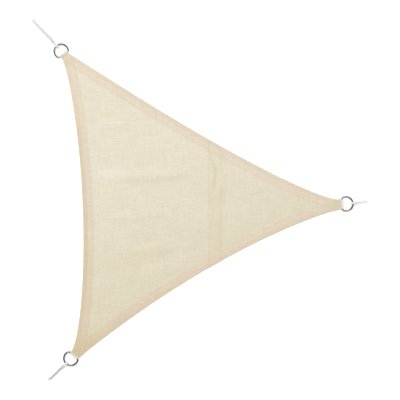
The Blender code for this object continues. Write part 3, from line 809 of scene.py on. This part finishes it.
def edge_line(edge, inwards=0.0):
    """Points along one edge, moved inwards at right angles."""
    start, end = edge_ends(edge)
    along = end - start
    peak = edge.start_power / (edge.start_power + edge.end_power)
    top = peak**edge.start_power * (1 - peak) ** edge.end_power

    def on_edge(t):
        t = np.clip(t, 0, 1)[:, None]
        depth = edge.depth * t**edge.start_power * (1 - t) ** edge.end_power / top
        return start + along * t + unit(left_of(along)) * depth

    even = np.linspace(0, 1, EDGE_STEPS + 1)
    shares = 0.5 * even + 0.25 * (1 - np.cos(math.pi * even))
    points = on_edge(shares)
    if inwards:
        slope = on_edge(shares + EDGE_NEARBY) - on_edge(shares - EDGE_NEARBY)
        points = points + unit(left_of(slope)) * inwards
    return points


def outline(pitch):
    """The closed cut outline, anticlockwise, its first point given once."""
    corners = [edge_ends(edge) for edge in EDGES]
    loop = []
    for i, edge in enumerate(EDGES):
        next_start = corners[(i + 1) % len(EDGES)][0]
        loop += list(evenly_spaced(edge_line(edge), pitch)[:-1])
        loop += list(evenly_spaced([corners[i][1], next_start], pitch)[:-1])
    return np.array(loop)


def crossing(line_a, line_b):
    """Where two lines of points cross: the index in each, and the point."""
    start_a, along_a = line_a[:-1, None], np.diff(line_a, axis=0)[:, None]
    start_b, along_b = line_b[None, :-1], np.diff(line_b, axis=0)[None]
    between = start_b - start_a
    across = (along_a * left_of(along_b)).sum(2)
    share_a = (between * left_of(along_b)).sum(2) / across
    share_b = (between * left_of(along_a)).sum(2) / across
    hits = np.argwhere((share_a >= 0) & (share_a < 1) & (share_b >= 0) & (share_b < 1))
    if not len(hits):
        raise ValueError("the lines don't cross")
    i, j = hits[0]
    return i, j, line_a[i] + (line_a[i + 1] - line_a[i]) * share_a[i, j]


def inner_line(inwards, pitch):
    """The closed line that runs inside the three edges at one distance from them."""
    lines = [edge_line(edge, inwards) for edge in EDGES]
    cuts = [crossing(lines[i], lines[(i + 1) % 3]) for i in range(3)]
    loop = []
    for i, line in enumerate(lines):
        first, last = cuts[i - 1], cuts[i]
        run = [first[2], *line[first[1] + 1 : last[0] + 1], last[2]]
        loop += list(evenly_spaced(run, pitch)[:-1])
    return np.array(loop)


def closed(loop):
    return np.concatenate([loop, loop[:1]])


def upright(x, loop):
    """The part of an upright line that lies inside the loop."""
    line = closed(loop)
    low = np.array([x, line[:, 1].min() - 1])
    high = np.array([x, line[:, 1].max() + 1])
    heights = []
    for a, b in zip(line, line[1:]):
        if (a[0] - x) * (b[0] - x) <= 0 and a[0] != b[0]:
            heights.append(a[1] + (b[1] - a[1]) * (x - a[0]) / (b[0] - a[0]))
    low[1], high[1] = min(heights), max(heights)
    return np.array([low, high])


# ---- the sail's height and thickness -----------------------------------------
def strap_place(corner, points):
    """How far the points are inside the cloth's end, measured along the strap."""
    return (corner_middle(corner) - points) @ direction(corner.ring_turn)


def strap_profile(steps=10):
    """The middle line of the strap's section, from its lower leg round the bar to its
    upper leg: distances ahead of the cloth's end and heights."""
    turn = WIRE_RADIUS + GAP + STRAP_THICK / 2
    upper = 1.5 * STRAP_THICK + GAP
    reach = Vector((-STRAP_PINCH - BAR_AHEAD, upper - BAR_HEIGHT))
    leave = math.atan2(reach.y, reach.x) % math.tau - math.acos(turn / reach.length)
    points = [(-STRAP_LEG, STRAP_THICK / 2), (-STRAP_PINCH, STRAP_THICK / 2)]
    for i in range(steps + 1):
        angle = -math.pi / 2 + (leave + math.pi / 2) * i / steps
        points.append((BAR_AHEAD + turn * math.cos(angle), BAR_HEIGHT + turn * math.sin(angle)))
    return points + [(-STRAP_PINCH, upper), (-STRAP_LEG, upper)]


def strap_lift(points):
    """How far a strap's sewn legs lift the cloth off the floor."""
    over = 2 * STRAP_THICK + 2 * GAP
    loop_top = strap_profile()[-3]
    slope = (loop_top[1] - 1.5 * STRAP_THICK - GAP) / (loop_top[0] + STRAP_PINCH)
    rise = math.hypot(1, slope) * (STRAP_THICK / 2 + GAP) - STRAP_THICK / 2 - GAP
    lift = np.zeros(len(points))
    for corner in CORNERS:
        inside = strap_place(corner, points)
        at_end = over + rise + slope * (STRAP_PINCH - inside)
        on_legs = over + rise * fade((STRAP_LEG - inside) / STRAP_LEG)
        left = STRAP_LEG + STRAP_RAMP - STRAP_LANDING - inside
        on_legs = on_legs * fade(left / (STRAP_RAMP - STRAP_LANDING))
        lift = np.maximum(lift, np.where(inside < STRAP_PINCH, at_end, on_legs))
    return lift


def along_route(points, route, pitch):
    """How far each point is from a smooth route, and 1 there, or less towards its ends."""
    away, share = nearest(points, evenly_spaced(curve_through(route), pitch))
    return away, fade(share / FOLD_END) * fade((1 - share) / FOLD_END)


def folds_and_painted_light(points):
    """How far folds and creases raise each point, and the light and shade painted on the yarn there."""
    height = np.zeros(len(points))
    for fold in FOLDS:
        away, ends = along_route(points, fold.crest, FOLD_PITCH)
        height = np.maximum(height, fold.height * ends * fade(1 - away / fold.reach))
    # painted light and painted shade along the creases and patches, as a share
    tint = np.zeros(len(points))
    for crease in CREASES:
        away, ends = along_route(points, crease.route, CREASE_PITCH)
        strength = ends * np.exp(-((away / crease.reach) ** 2))
        height += crease.height * strength
        tint += crease.tint * strength
    return height, tint


def ripples(points, ripple):
    """Soft uneven waves of one height and about one length, above and below 0."""
    height, size, seed = ripple
    return height * np.array([noise.noise(Vector((x / size, y / size, seed))) for x, y in points])


class Lay:
    """How the cloth lies at each of the points: its heights, thickness and painted light and shade."""

    def __init__(self, points, hem_width):
        ranked = np.sort([nearest(points, edge_line(edge))[0] for edge in EDGES], axis=0)
        self.edge_away, self.crossing_away = ranked[:2]
        self.rim_away = nearest(points, closed(outline(RIM_PITCH)))[0]
        raised, self.tint = folds_and_painted_light(points)
        inside = fade((self.edge_away - hem_width / 2) / hem_width)
        raised += inside * (SLACK + ripples(points, BROAD_RIPPLE) + ripples(points, SMALL_RIPPLE))
        near_hem = fade(HEM_RIPPLE_REACH - self.edge_away / hem_width)
        raised += near_hem * (ripples(points, HEM_RIPPLE) + HEM_RIPPLE[0] / 2)
        on_strap = strap_lift(points)
        self.floor = np.maximum(np.maximum(raised, 0.0) * fade(1 - on_strap / STRAP_TAUT), on_strap)
        step = fade((hem_width + HEM_STEP - self.edge_away) / HEM_STEP)
        self.thick = SINGLE_THICK + (HEM_THICK - SINGLE_THICK) * step
        past_lap = fade((points[:, 0] - SEAM_RIGHT) / SEAM_DROP)
        self.lapped = self.floor + (self.thick + GAP) * (1 - past_lap)
        self.x = points[:, 0]

    def faces(self, upper):
        """The lower and upper face of one panel, rounded at its folded edges."""
        bottom = self.lapped if upper else self.floor
        seam_away = self.x - SEAM_LEFT if upper else SEAM_RIGHT - self.x
        rim = np.minimum(self.rim_away, np.abs(seam_away))
        full = RIM_THICK + (1 - RIM_THICK) * np.sin(np.clip(rim / RIM_ROUND, 0, 1) * math.pi / 2)
        middle = bottom + self.thick / 2
        return middle - self.thick / 2 * full, middle + self.thick / 2 * full


def lattice(lines, pitch):
    """Evenly staggered points over the lines that keep clear of them."""
    marks = np.concatenate([evenly_spaced(line, pitch / 2) for line in lines])
    tree = kdtree.KDTree(len(marks))
    for i, (x, y) in enumerate(marks):
        tree.insert((x, y, 0), i)
    tree.balance()
    low, high = marks.min(0), marks.max(0)
    points = []
    row_pitch = pitch * math.sqrt(3) / 2
    for row, y in enumerate(np.arange(low[1], high[1], row_pitch)):
        for x in np.arange(low[0] + pitch / 2 * (row % 2), high[0], pitch):
            if tree.find((x, y, 0))[2] > LATTICE_CLEAR * pitch:
                points.append((x, y))
    return np.array(points)


def doubled_areas(flat, triangles):
    """Twice the area of each flat triangle, below 0 where it runs clockwise."""
    a, b, c = (flat[triangles[:, i]] for i in range(3))
    return (b - a)[:, 0] * (c - a)[:, 1] - (b - a)[:, 1] * (c - a)[:, 0]


def cloth_triangles(cloth):
    """The whole sail as flat triangles that follow its hems and its seam."""
    pitch = cloth.mesh_pitch * 1
    loop = outline(pitch)
    ways = np.roll(loop, -1, axis=0) - np.roll(loop, 1, axis=0)
    lines = [closed(loop)]
    lines += [closed(loop + unit(left_of(ways)) * inwards) for inwards in RIM_LINES]
    for step in (0.0, 0.5, 1.0):
        lines.append(closed(inner_line(cloth.hem_width + step * HEM_STEP, pitch)))
    for x in (SEAM_LEFT, *(SEAM_LEFT + rim for rim in RIM_LINES), SEAM_RIGHT, SEAM_RIGHT + SEAM_DROP):
        lines.append(evenly_spaced(upright(x, loop), pitch))
    points, edges = [], []
    for line in lines:
        first = len(points)
        points += [Vector(p) for p in line]
        edges += [(i, i + 1) for i in range(first, len(points) - 1)]
    points += [Vector(p) for p in lattice(lines, pitch)]
    inside_only = 1
    flat, _, found, *_ = delaunay_2d_cdt(points, edges, [], inside_only, MERGED)
    flat = np.array([tuple(p) for p in flat])
    found = np.array(found)
    return flat, found[doubled_areas(flat, found) > 0]


def add_panel(name, flat, triangles, lay, upper, material):
    """One closed panel: a lower and an upper face of the same triangles, and a wall."""
    used = np.unique(triangles)
    rank = np.full(len(flat), -1)
    rank[used] = np.arange(len(used))
    low = rank[triangles]
    high = low + len(used)
    bottoms, tops = lay.faces(upper)
    vertices = np.concatenate([
        np.column_stack([flat[used], bottoms[used]]),
        np.column_stack([flat[used], tops[used]]),
    ])
    faces = high.tolist() + low[:, ::-1].tolist()
    sides = {(a, b) for t in low.tolist() for a, b in zip(t, t[1:] + t[:1])}
    rim = sorted(side for side in sides if (side[1], side[0]) not in sides)
    count = len(used)
    faces += [[a, b, b + count, a + count] for a, b in rim]
    panel = mesh_object(name, vertices, faces, material)
    # the creases' painted light and shade goes with the panel as a point value
    for value_name in ("edge_away", "crossing_away", "tint"):
        add_values(panel.data, value_name, np.tile(getattr(lay, value_name)[used], 2))
    return panel


# ---- the corner fittings -----------------------------------------------------
def corner_frame(corner):
    """The strap's and ring's own axes: the cloth's end, outwards and sideways."""
    outwards = direction(corner.ring_turn)
    return corner_middle(corner), outwards, left_of(outwards)


def in_corner(corner, ahead, side, height):
    """Points from distances ahead of the cloth's end, to the side, and heights."""
    middle, outwards, sideways = corner_frame(corner)
    flat = middle + np.outer(ahead, outwards) + np.outer(side, sideways)
    return np.column_stack([flat, height])


def sweep(line, section, across, loop):
    """A section of (across, out) offsets carried along a flat line: points and faces."""
    ways = np.gradient(line, axis=0)
    if loop:
        ways = np.roll(line, -1, axis=0) - np.roll(line, 1, axis=0)
    out = unit(np.cross(across, unit(ways)))
    points = line[:, None] + section[..., :1] * across + section[..., 1:] * out[:, None]
    rows, around = points.shape[:2]
    faces = []
    for i in range(rows if loop else rows - 1):
        for j in range(around):
            a, b = i * around + j, i * around + (j + 1) % around
            step = ((i + 1) % rows - i) * around
            faces.append([a, b, b + step, a + step])
    if not loop:
        faces.append(list(range(around))[::-1])
        faces.append([(rows - 1) * around + j for j in range(around)])
    return points.reshape(-1, 3), faces


def add_strap(corner, fittings, material):
    """A webbing strap round the ring's bar, with both legs under the cloth and cross ribs."""
    turn_steps, rib_steps = 40, 5
    profile = evenly_spaced(strap_profile(turn_steps), fittings.rib_pitch / rib_steps)
    line = in_corner(corner, profile[:, 0], np.zeros(len(profile)), profile[:, 1])
    stations = lengths_along(profile)
    half, thick, edge_steps, flat_steps = STRAP_WIDTH / 2, STRAP_THICK / 2, 5, 16
    section = []
    for side in (1, -1):
        for i in range(edge_steps + 1):
            angle = side * math.pi / 2 - math.pi * i / edge_steps
            section.append((side * (half - thick) + thick * math.cos(angle), thick * math.sin(angle)))
        for i in range(1, flat_steps):
            share = 1 - 2 * i / flat_steps
            section.append((side * share * (half - thick), -side * thick))
    section = np.array(section)
    ribs = 1 - RIB_DEPTH * (0.5 + 0.5 * np.cos(stations * math.tau / fittings.rib_pitch))
    section = np.stack([np.column_stack([section[:, 0], section[:, 1] * rib]) for rib in ribs])
    across = np.array([*left_of(direction(corner.ring_turn)), 0.0])
    vertices, faces = sweep(line, section, across, False)
    strap = mesh_object(f"webbing_{corner.name}", vertices, faces, material)
    add_strap_map(strap.data, stations, section[0])
    outward_faces(strap.data)
    return strap


def add_strap_map(mesh, stations, section):
    """The strap's UV map, in metres along and across it."""
    around = len(section)
    layer = mesh.uv_layers.new(name="strap")
    corners = np.empty(len(mesh.loops), int)
    mesh.loops.foreach_get("vertex_index", corners)
    values = np.column_stack([stations[corners // around], section[corners % around, 0]])
    layer.data.foreach_set("uv", values.ravel().astype(np.float32))


def outward_faces(mesh):
    """Turns a closed mesh's faces outwards if its volume comes out negative."""
    mesh.calc_loop_triangles()
    points = np.array([v.co for v in mesh.vertices])
    triangles = np.array([t.vertices for t in mesh.loop_triangles])
    a, b, c = (points[triangles[:, i]] for i in range(3))
    if np.einsum("ij,ij->", a, np.cross(b, c)) < 0:
        mesh.flip_normals()


def ring_line():
    """The D-ring's wire: distances ahead of the bar and to the side."""
    inner = BOW_RADIUS - BEND_RADIUS
    bend_side = math.sqrt(inner**2 - (BOW_OFFSET - BEND_RADIUS) ** 2)
    bow_end = math.atan2(bend_side, BEND_RADIUS - BOW_OFFSET)
    points = []
    bow_steps, bend_steps, bar_steps = 90, 14, 12
    for angle in np.linspace(-bow_end, bow_end, bow_steps + 1):
        points.append((BOW_OFFSET + BOW_RADIUS * math.cos(angle), BOW_RADIUS * math.sin(angle)))
    bend = []
    for angle in np.linspace(bow_end, math.pi, bend_steps + 1)[1:]:
        ahead = BEND_RADIUS + BEND_RADIUS * math.cos(angle)
        bend.append((ahead, bend_side + BEND_RADIUS * math.sin(angle)))
    points += bend
    points += [(0, bend_side * (1 - 2 * i / bar_steps)) for i in range(1, bar_steps)]
    points += [(ahead, -side) for ahead, side in bend[::-1]]
    return np.array(points)


def add_ring(corner, material):
    """A D-ring of round wire with its bar in the strap and its bow raised on the cord."""
    line = ring_line()
    ahead = BAR_AHEAD + line[:, 0] * math.cos(RING_RISE)
    side = corner.ring_slide + line[:, 1]
    points = in_corner(corner, ahead, side, BAR_HEIGHT + line[:, 0] * math.sin(RING_RISE))
    sides = 28
    angles = np.arange(sides) * math.tau / sides
    section = np.column_stack([np.cos(angles), np.sin(angles)]) * WIRE_RADIUS
    outwards = direction(corner.ring_turn)
    across = np.array([*(-outwards * math.sin(RING_RISE)), math.cos(RING_RISE)])
    vertices, faces = sweep(points, np.stack([section] * len(points)), across, True)
    ring = mesh_object(f"d_ring_{corner.name}", vertices, faces, material)
    turns = np.degrees(np.arctan2(line[:, 1], line[:, 0] - BOW_OFFSET))
    # painted dark reflections along the wire
    painted_dark_reflection = np.zeros(len(turns))
    for middle, half_span, amount in PAINTED_DARK_REFLECTIONS[corner.name]:
        inside = half_span - np.abs((turns - middle + 180) % 360 - 180)
        painted_dark_reflection = np.maximum(painted_dark_reflection, amount * fade(inside / DARK_REFLECTION_EDGE + 0.5))
    add_values(ring.data, "painted_dark_reflection", np.repeat(painted_dark_reflection, sides))
    outward_faces(ring.data)
    return ring


# ---- the ties ----------------------------------------------------------------
def tie_half(tie, end, left):
    """Half of a doubled cord, from its free end over the ring's wire, down through the ring
    and back under the wire: distances beyond the wire, to the side, and heights."""
    floor = CORD_RADIUS + GAP
    top = BOW_HEIGHT + TURN_RADIUS
    half = []
    for i in range(4):
        ahead = end + (CORD_LANDING - end) * i / 3
        sway = CORD_SWAY * math.sin(math.pi * i / 3)
        half.append((ahead, tie.aside + left * tie.apart + sway, floor))
    for share, rise in CORD_DROP:
        middle = tie.cross + (tie.aside - tie.cross) * share
        apart = WIRE_APART + (tie.apart - WIRE_APART) * share
        half.append((share * CORD_LANDING, middle + left * apart, floor + rise * (top - floor)))
    for i in range(TURN_STEPS + 1):
        turn = math.pi * i / TURN_STEPS
        side = tie.cross + left * (WIRE_APART + (BIGHT_RADIUS - WIRE_APART) * i / TURN_STEPS)
        bow_curves = side**2 / (2 * BOW_RADIUS)
        ahead = -TURN_RADIUS * math.sin(turn) - bow_curves
        half.append((ahead, side, BOW_HEIGHT + TURN_RADIUS * math.cos(turn)))
    return half


def tie_parts(corner):
    """The tie's three runs of points: the long end from the ring outwards, the folded middle
    from the top of the wire round it and back, and the short end from the ring outwards."""
    tie = TIES[corner.name]
    bight = []
    for i in range(BIGHT_STEPS + 1):
        turn = math.pi * (i / BIGHT_STEPS - 0.5)
        side = tie.cross + BIGHT_RADIUS * math.sin(turn)
        bight.append((BIGHT_REACH + BIGHT_RADIUS * math.cos(turn), side, CORD_RADIUS + GAP))
    there = tie_half(tie, tie.long_end, -1)
    back = tie_half(tie, tie.short_end, 1)[::-1]
    fine = curve_through(there + bight + back)
    middle, outwards, sideways = corner_frame(corner)
    bow_ahead = BAR_AHEAD + BOW_OFFSET * math.cos(RING_RISE)
    bow_middle = middle + outwards * bow_ahead + sideways * corner.ring_slide
    pull = direction(tie.turn)
    flat = bow_middle + np.outer(BOW_RADIUS + fine[:, 0], pull) + np.outer(fine[:, 1], left_of(pull))
    points = np.column_stack([flat, fine[:, 2]])
    first = (len(there) - TURN_STEPS - 1) * CURVE_STEPS
    last = len(points) - 1 - first
    return points[first::-1], points[first : last + 1], points[last:]


def braid_tree():
    """Strands that wind both ways round a line, each over one and under the next."""
    tree, entry, leave = new_tree(
        "braid",
        Diameter=2 * CORD_RADIUS,
        Strands=8,
        Lay=2.4 * MM,
        Relief=0.09,
        Pitch=0.6 * MM,
        Sides=40,
    )
    radius = Number(entry["Diameter"]) * BRAID_CORE
    inputs = {"Resolution": entry["Sides"], "Radius": radius}
    circle = from_node(tree, "GeometryNodeCurvePrimitiveCircle", inputs)
    profile = stored(circle, "around", from_node(tree, "GeometryNodeSplineParameter"))
    melt = kept_number(tree, "melt")
    inputs = {
        "Curve": even_curve(tree, entry),
        "Profile Curve": profile,
        "Scale": 1.0 - melt**3.0 * MELT_TAPER,
        "Fill Caps": True,
    }
    tube = from_node(tree, "GeometryNodeCurveToMesh", inputs)

    turned = kept_number(tree, "around") * entry["Strands"]
    passed = kept_number(tree, "station") / entry["Lay"]
    counts = turned + passed, turned - passed
    crowns = [abs(maths("SINE", count * math.pi)) for count in counts]
    cells = [maths("FLOOR", count) for count in counts]
    over = maths("FLOORED_MODULO", cells[0] + cells[1], 2.0)
    first, second = (mine**0.6 * (other * 0.5 + 0.5) for mine, other in (crowns, crowns[::-1]))
    crown = ((second - first) * over + first) * (1.0 - melt)
    lift = crown * entry["Relief"] * entry["Diameter"]
    inputs = {0: from_node(tree, "GeometryNodeInputNormal"), "Scale": lift}
    offset = from_node(tree, "ShaderNodeVectorMath", inputs, operation="SCALE")
    inputs = {"Geometry": stored(tube, "crown", crown), "Offset": offset}
    end_tree(tree, from_node(tree, "GeometryNodeSetPosition", inputs), entry, leave)
    return tree


def add_cord_run(name, run, melted, painted_shade, tree, ties, material):
    """One run of braided cord along its points, with or without a melted far end."""
    if melted:
        run = np.concatenate([run[:-2], evenly_spaced(run[-2:], MELT_REACH / 6)])
    lengths = lengths_along(run)
    melt = np.clip(1 - (lengths[-1] - lengths) / MELT_REACH, 0, 1) * melted
    edges = [(i, i + 1) for i in range(len(run) - 1)]
    # painted shade on the free ends, growing away from the ring
    shade_share = melted * fade((lengths - UNSHADED_REACH) / SHADE_RISE) * np.interp(lengths, (0, lengths[-1]), painted_shade)
    values = {"station": lengths, "melt": melt, "painted_shade": shade_share}
    inputs = {"Strands": ties.strands, "Lay": ties.lay, "Material": material}
    return made_by_tree(name, run, edges, values, tree, inputs), float(lengths[-1]), run


def add_tie(corner, tree, ties, material):
    """One doubled cord laid over a ring's wire: two free ends and the folded middle."""
    node = f"tie_{corner.name}"
    long_run, fold, short_run = tie_parts(corner)
    painted_shade = PAINTED_TIE_SHADE[corner.name]
    runs = {}
    for name, run, melted in (("long", long_run, True), ("fold", fold, False), ("short", short_run, True)):
        piece_name = f"cord_{corner.name}_{name}"
        runs[name] = add_cord_run(piece_name, run, melted, painted_shade, tree, ties, material)
        place_piece(runs[name][0], "cord", node)
    for name in ("long", "short"):
        piece, length, run = runs[name]
        [runs["fold"][0]] if name == "long" else []


# ---- the sewing --------------------------------------------------------------
def stitch_tree():
    """Short stitches of thread, end to end along lines."""
    tree, entry, leave = new_tree(
        "stitches", Pitch=4.4 * MM, Length=3.6 * MM, Thread=0.9 * MM, Seed=PINNED_SEED
    )
    ball = from_node(tree, "GeometryNodeMeshIcoSphere", {"Radius": 0.5, "Subdivisions": 1})
    inputs = {0: entry["Length"], 1: entry["Thread"], 2: Number(entry["Thread"]) * THREAD_FLAT}
    size = from_node(tree, "ShaderNodeCombineXYZ", inputs)
    stitch = from_node(tree, "GeometryNodeTransform", {"Geometry": ball, "Scale": size})
    inputs = {"Vector": from_node(tree, "GeometryNodeInputTangent")}
    aligned = from_node(tree, "FunctionNodeAlignRotationToVector", inputs, axis="X", pivot_axis="Z")
    inputs = {"Min": (0.9, 0.85, 0.85), "Max": (1.08, 1.15, 1.1), "Seed": entry["Seed"]}
    uneven = from_node(tree, "FunctionNodeRandomValue", inputs, data_type="FLOAT_VECTOR")
    inputs = {"Points": even_curve(tree, entry), "Instance": stitch, "Rotation": aligned, "Scale": uneven}
    end_tree(tree, from_node(tree, "GeometryNodeInstanceOnPoints", inputs), entry, leave)
    return tree


def corner_rows(corner):
    """The box and cross sewn through the cloth and the strap's legs."""
    (near, far), half = BOX_ENDS, BOX_HALF
    box = [(near, half), (far, half), (far, -half), (near, -half), (near, half)]
    crosses = [[(near, half), (far, -half)], [(near, -half), (far, half)]]
    rows = []
    for row in (box, *crosses):
        ahead, side = np.array(row).T
        rows.append(in_corner(corner, ahead, side, np.zeros(len(row)))[:, :2])
    return rows


def add_stitches(name, rows, tree, sewing, hem_width, material):
    """Rows of stitches laid on the top of the cloth."""
    vertices, edges = [], []
    for row in rows:
        flat = evenly_spaced(row, ROW_PITCH)
        lay = Lay(flat, hem_width)
        lower, upper = lay.faces(False)[1], lay.faces(True)[1]
        top = np.where(flat[:, 0] > SEAM_LEFT, upper, lower)
        first = len(vertices)
        vertices += np.column_stack([flat, top + sewing.thread * THREAD_RISE]).tolist()
        edges += [(i, i + 1) for i in range(first, len(vertices) - 1)]
    inputs = {"Pitch": sewing.pitch, "Length": sewing.length, "Thread": sewing.thread, "Material": material}
    return made_by_tree(name, vertices, edges, {}, tree, inputs)


# ---- the stage ---------------------------------------------------------------
def add_camera(stage):
    data = bpy.data.cameras.new("camera")
    data.lens = stage.lens
    camera = bpy.data.objects.new("camera", data)
    distance = VIEW_WIDTH * data.lens / data.sensor_width
    camera.location = (*VIEW_MIDDLE, distance)
    data.clip_end = VIEW_REACH
    bpy.context.scene.collection.objects.link(camera)
    bpy.context.scene.camera = camera


def add_floor(stage):
    """A wide plain floor with the faintest unevenness."""
    half = FLOOR_HALF
    corners = [(-half, -half), (half, -half), (half, half), (-half, half)]
    vertices = [(x, y, -FLOOR_DROP) for x, y in corners]
    material, tree, shader, place = new_material("pale_floor", 0.9, Emission_Strength=stage.floor_glow)
    shader.inputs["Emission Color"].default_value = (1.0, 1.0, 1.0, 1.0)
    shade = speckle(place, 0.7, 2.0, FLAT)
    tone = mixed(shade, rgba(stage.floor_colour, 0.995), rgba(stage.floor_colour, 1.005))
    tree.links.new(tone, shader.inputs["Base Color"])
    floor = mesh_object("floor", vertices, [[0, 1, 2, 3]], material)


def add_key_light(stage):
    data = bpy.data.lights.new("key", "AREA")
    data.shape = "DISK"
    data.size = KEY_SIZE
    data.energy = stage.key_power
    light = bpy.data.objects.new("key", data)
    light.location = KEY_PLACE
    light.rotation_euler = (Vector(KEY_AIM) - light.location).to_track_quat("-Z", "Y").to_euler()
    bpy.context.scene.collection.objects.link(light)


def set_world(stage):
    world = bpy.data.worlds.new("studio")
    world.use_nodes = True
    background = world.node_tree.nodes["Background"]
    background.inputs["Color"].default_value = (1.0, 1.0, 1.0, 1.0)
    background.inputs["Strength"].default_value = stage.world_level
    bpy.context.scene.world = world
    bpy.context.scene.view_settings.view_transform = "Standard"


# ---- operators ---------------------------------------------------------------
class SAIL_OT_stage(Operator):
    """Add the camera, the floor and the light"""

    bl_idname = "sail.stage"
    bl_label = "Stage"

    def execute(self, context):
        stage = context.scene.shade_sail.stage
        add_camera(stage)
        add_floor(stage)
        add_key_light(stage)
        set_world(stage)
        return {"FINISHED"}


class SAIL_OT_ties(Operator):
    """Add the braided tie cords"""

    bl_idname = "sail.ties"
    bl_label = "Tie cords"

    def execute(self, context):
        ties = context.scene.shade_sail.ties
        material = cord_material(ties)
        tree = braid_tree()
        for corner in CORNERS:
            add_tie(corner, tree, ties, material)
        return {"FINISHED"}


class SAIL_OT_cloth(Operator):
    """Add the two panels of knitted cloth with their hems"""

    bl_idname = "sail.cloth"
    bl_label = "Cloth"

    def execute(self, context):
        cloth = context.scene.shade_sail.cloth
        material = cloth_material(cloth)
        flat, triangles = cloth_triangles(cloth)
        lay = Lay(flat, cloth.hem_width)
        middle_x = flat[triangles, 0].mean(1)
        for name, chosen, upper in (
            ("left", middle_x < SEAM_RIGHT, False),
            ("right", middle_x > SEAM_LEFT, True),
        ):
            panel = add_panel(f"cloth_{name}", flat, triangles[chosen], lay, upper, material)
            place_piece(panel, "shade_cloth", f"panel_{name}")
        return {"FINISHED"}


class SAIL_OT_sewing(Operator):
    """Add the rows of stitches along the hems, the seam and the corners"""

    bl_idname = "sail.sewing"
    bl_label = "Sewing"

    def execute(self, context):
        settings = context.scene.shade_sail
        sewing, hem_width = settings.sewing, settings.cloth.hem_width
        material = thread_material(sewing)
        tree = stitch_tree()
        hem_rows = [closed(inner_line(hem_width - outwards, HEM_ROW_PITCH)) for outwards in HEM_ROWS]
        hem_rows += [edge_line(edge, EDGE_ROW) for edge in EDGES]
        loop = outline(SEAM_ROW_PITCH)
        near, far = SEAM_ROWS
        seam_rows = []
        for x in (SEAM_LEFT + near, SEAM_LEFT + far, SEAM_RIGHT - far, SEAM_RIGHT - near):
            low, high = upright(x, loop)
            seam_rows.append(np.array([low + (0, SEAM_ROW_END), high - (0, SEAM_ROW_END)]))
        corner_sewing = [row for corner in CORNERS for row in corner_rows(corner)]
        for name, rows in (("hem", hem_rows), ("seam", seam_rows), ("corner", corner_sewing)):
            piece = add_stitches(f"stitches_{name}", rows, tree, sewing, hem_width, material)
            place_piece(piece, "shade_cloth")
        return {"FINISHED"}


class SAIL_OT_straps(Operator):
    """Add the webbing straps"""

    bl_idname = "sail.straps"
    bl_label = "Straps"

    def execute(self, context):
        fittings = context.scene.shade_sail.fittings
        material = webbing_material(fittings)
        for corner in CORNERS:
            place_piece(add_strap(corner, fittings, material), "webbing", f"strap_{corner.name}")
        return {"FINISHED"}


class SAIL_OT_rings(Operator):
    """Add the D-rings"""

    bl_idname = "sail.rings"
    bl_label = "D-rings"

    def execute(self, context):
        material = steel_material(context.scene.shade_sail.fittings)
        for corner in CORNERS:
            place_piece(add_ring(corner, material), "steel", f"ring_{corner.name}")
        return {"FINISHED"}


class SAIL_PT_panel(Panel):
    """The sail's pieces and their settings"""

    bl_idname = "SAIL_PT_panel"
    bl_label = "Shade Sail"
    bl_space_type = "VIEW_3D"
    bl_region_type = "UI"
    bl_category = "Shade Sail"

    def draw(self, context):
        settings = context.scene.shade_sail
        for operator, part in STEPS:
            box = self.layout.box()
            box.operator(operator.bl_idname)
            group = getattr(settings, part)
            for name in group.__annotations__:
                box.prop(group, name)


STEPS = (
    (SAIL_OT_stage, "stage"),
    (SAIL_OT_ties, "ties"),
    (SAIL_OT_cloth, "cloth"),
    (SAIL_OT_sewing, "sewing"),
    (SAIL_OT_straps, "fittings"),
    (SAIL_OT_rings, "fittings"),
)
CLASSES = (
    ClothSettings,
    SewingSettings,
    FittingSettings,
    TieSettings,
    StageSettings,
    SailSettings,
    *(operator for operator, _ in STEPS),
    SAIL_PT_panel,
)


def register():
    for made in CLASSES:
        bpy.utils.register_class(made)
    bpy.types.Scene.shade_sail = PointerProperty(type=SailSettings)


def unregister():
    del bpy.types.Scene.shade_sail
    for made in reversed(CLASSES):
        bpy.utils.unregister_class(made)


def main():
    register()
    bpy.ops.sail.stage()
    bpy.ops.sail.ties()
    bpy.ops.sail.cloth()
    bpy.ops.sail.sewing()
    bpy.ops.sail.straps()
    bpy.ops.sail.rings()


if __name__ == "__main__":
    main()
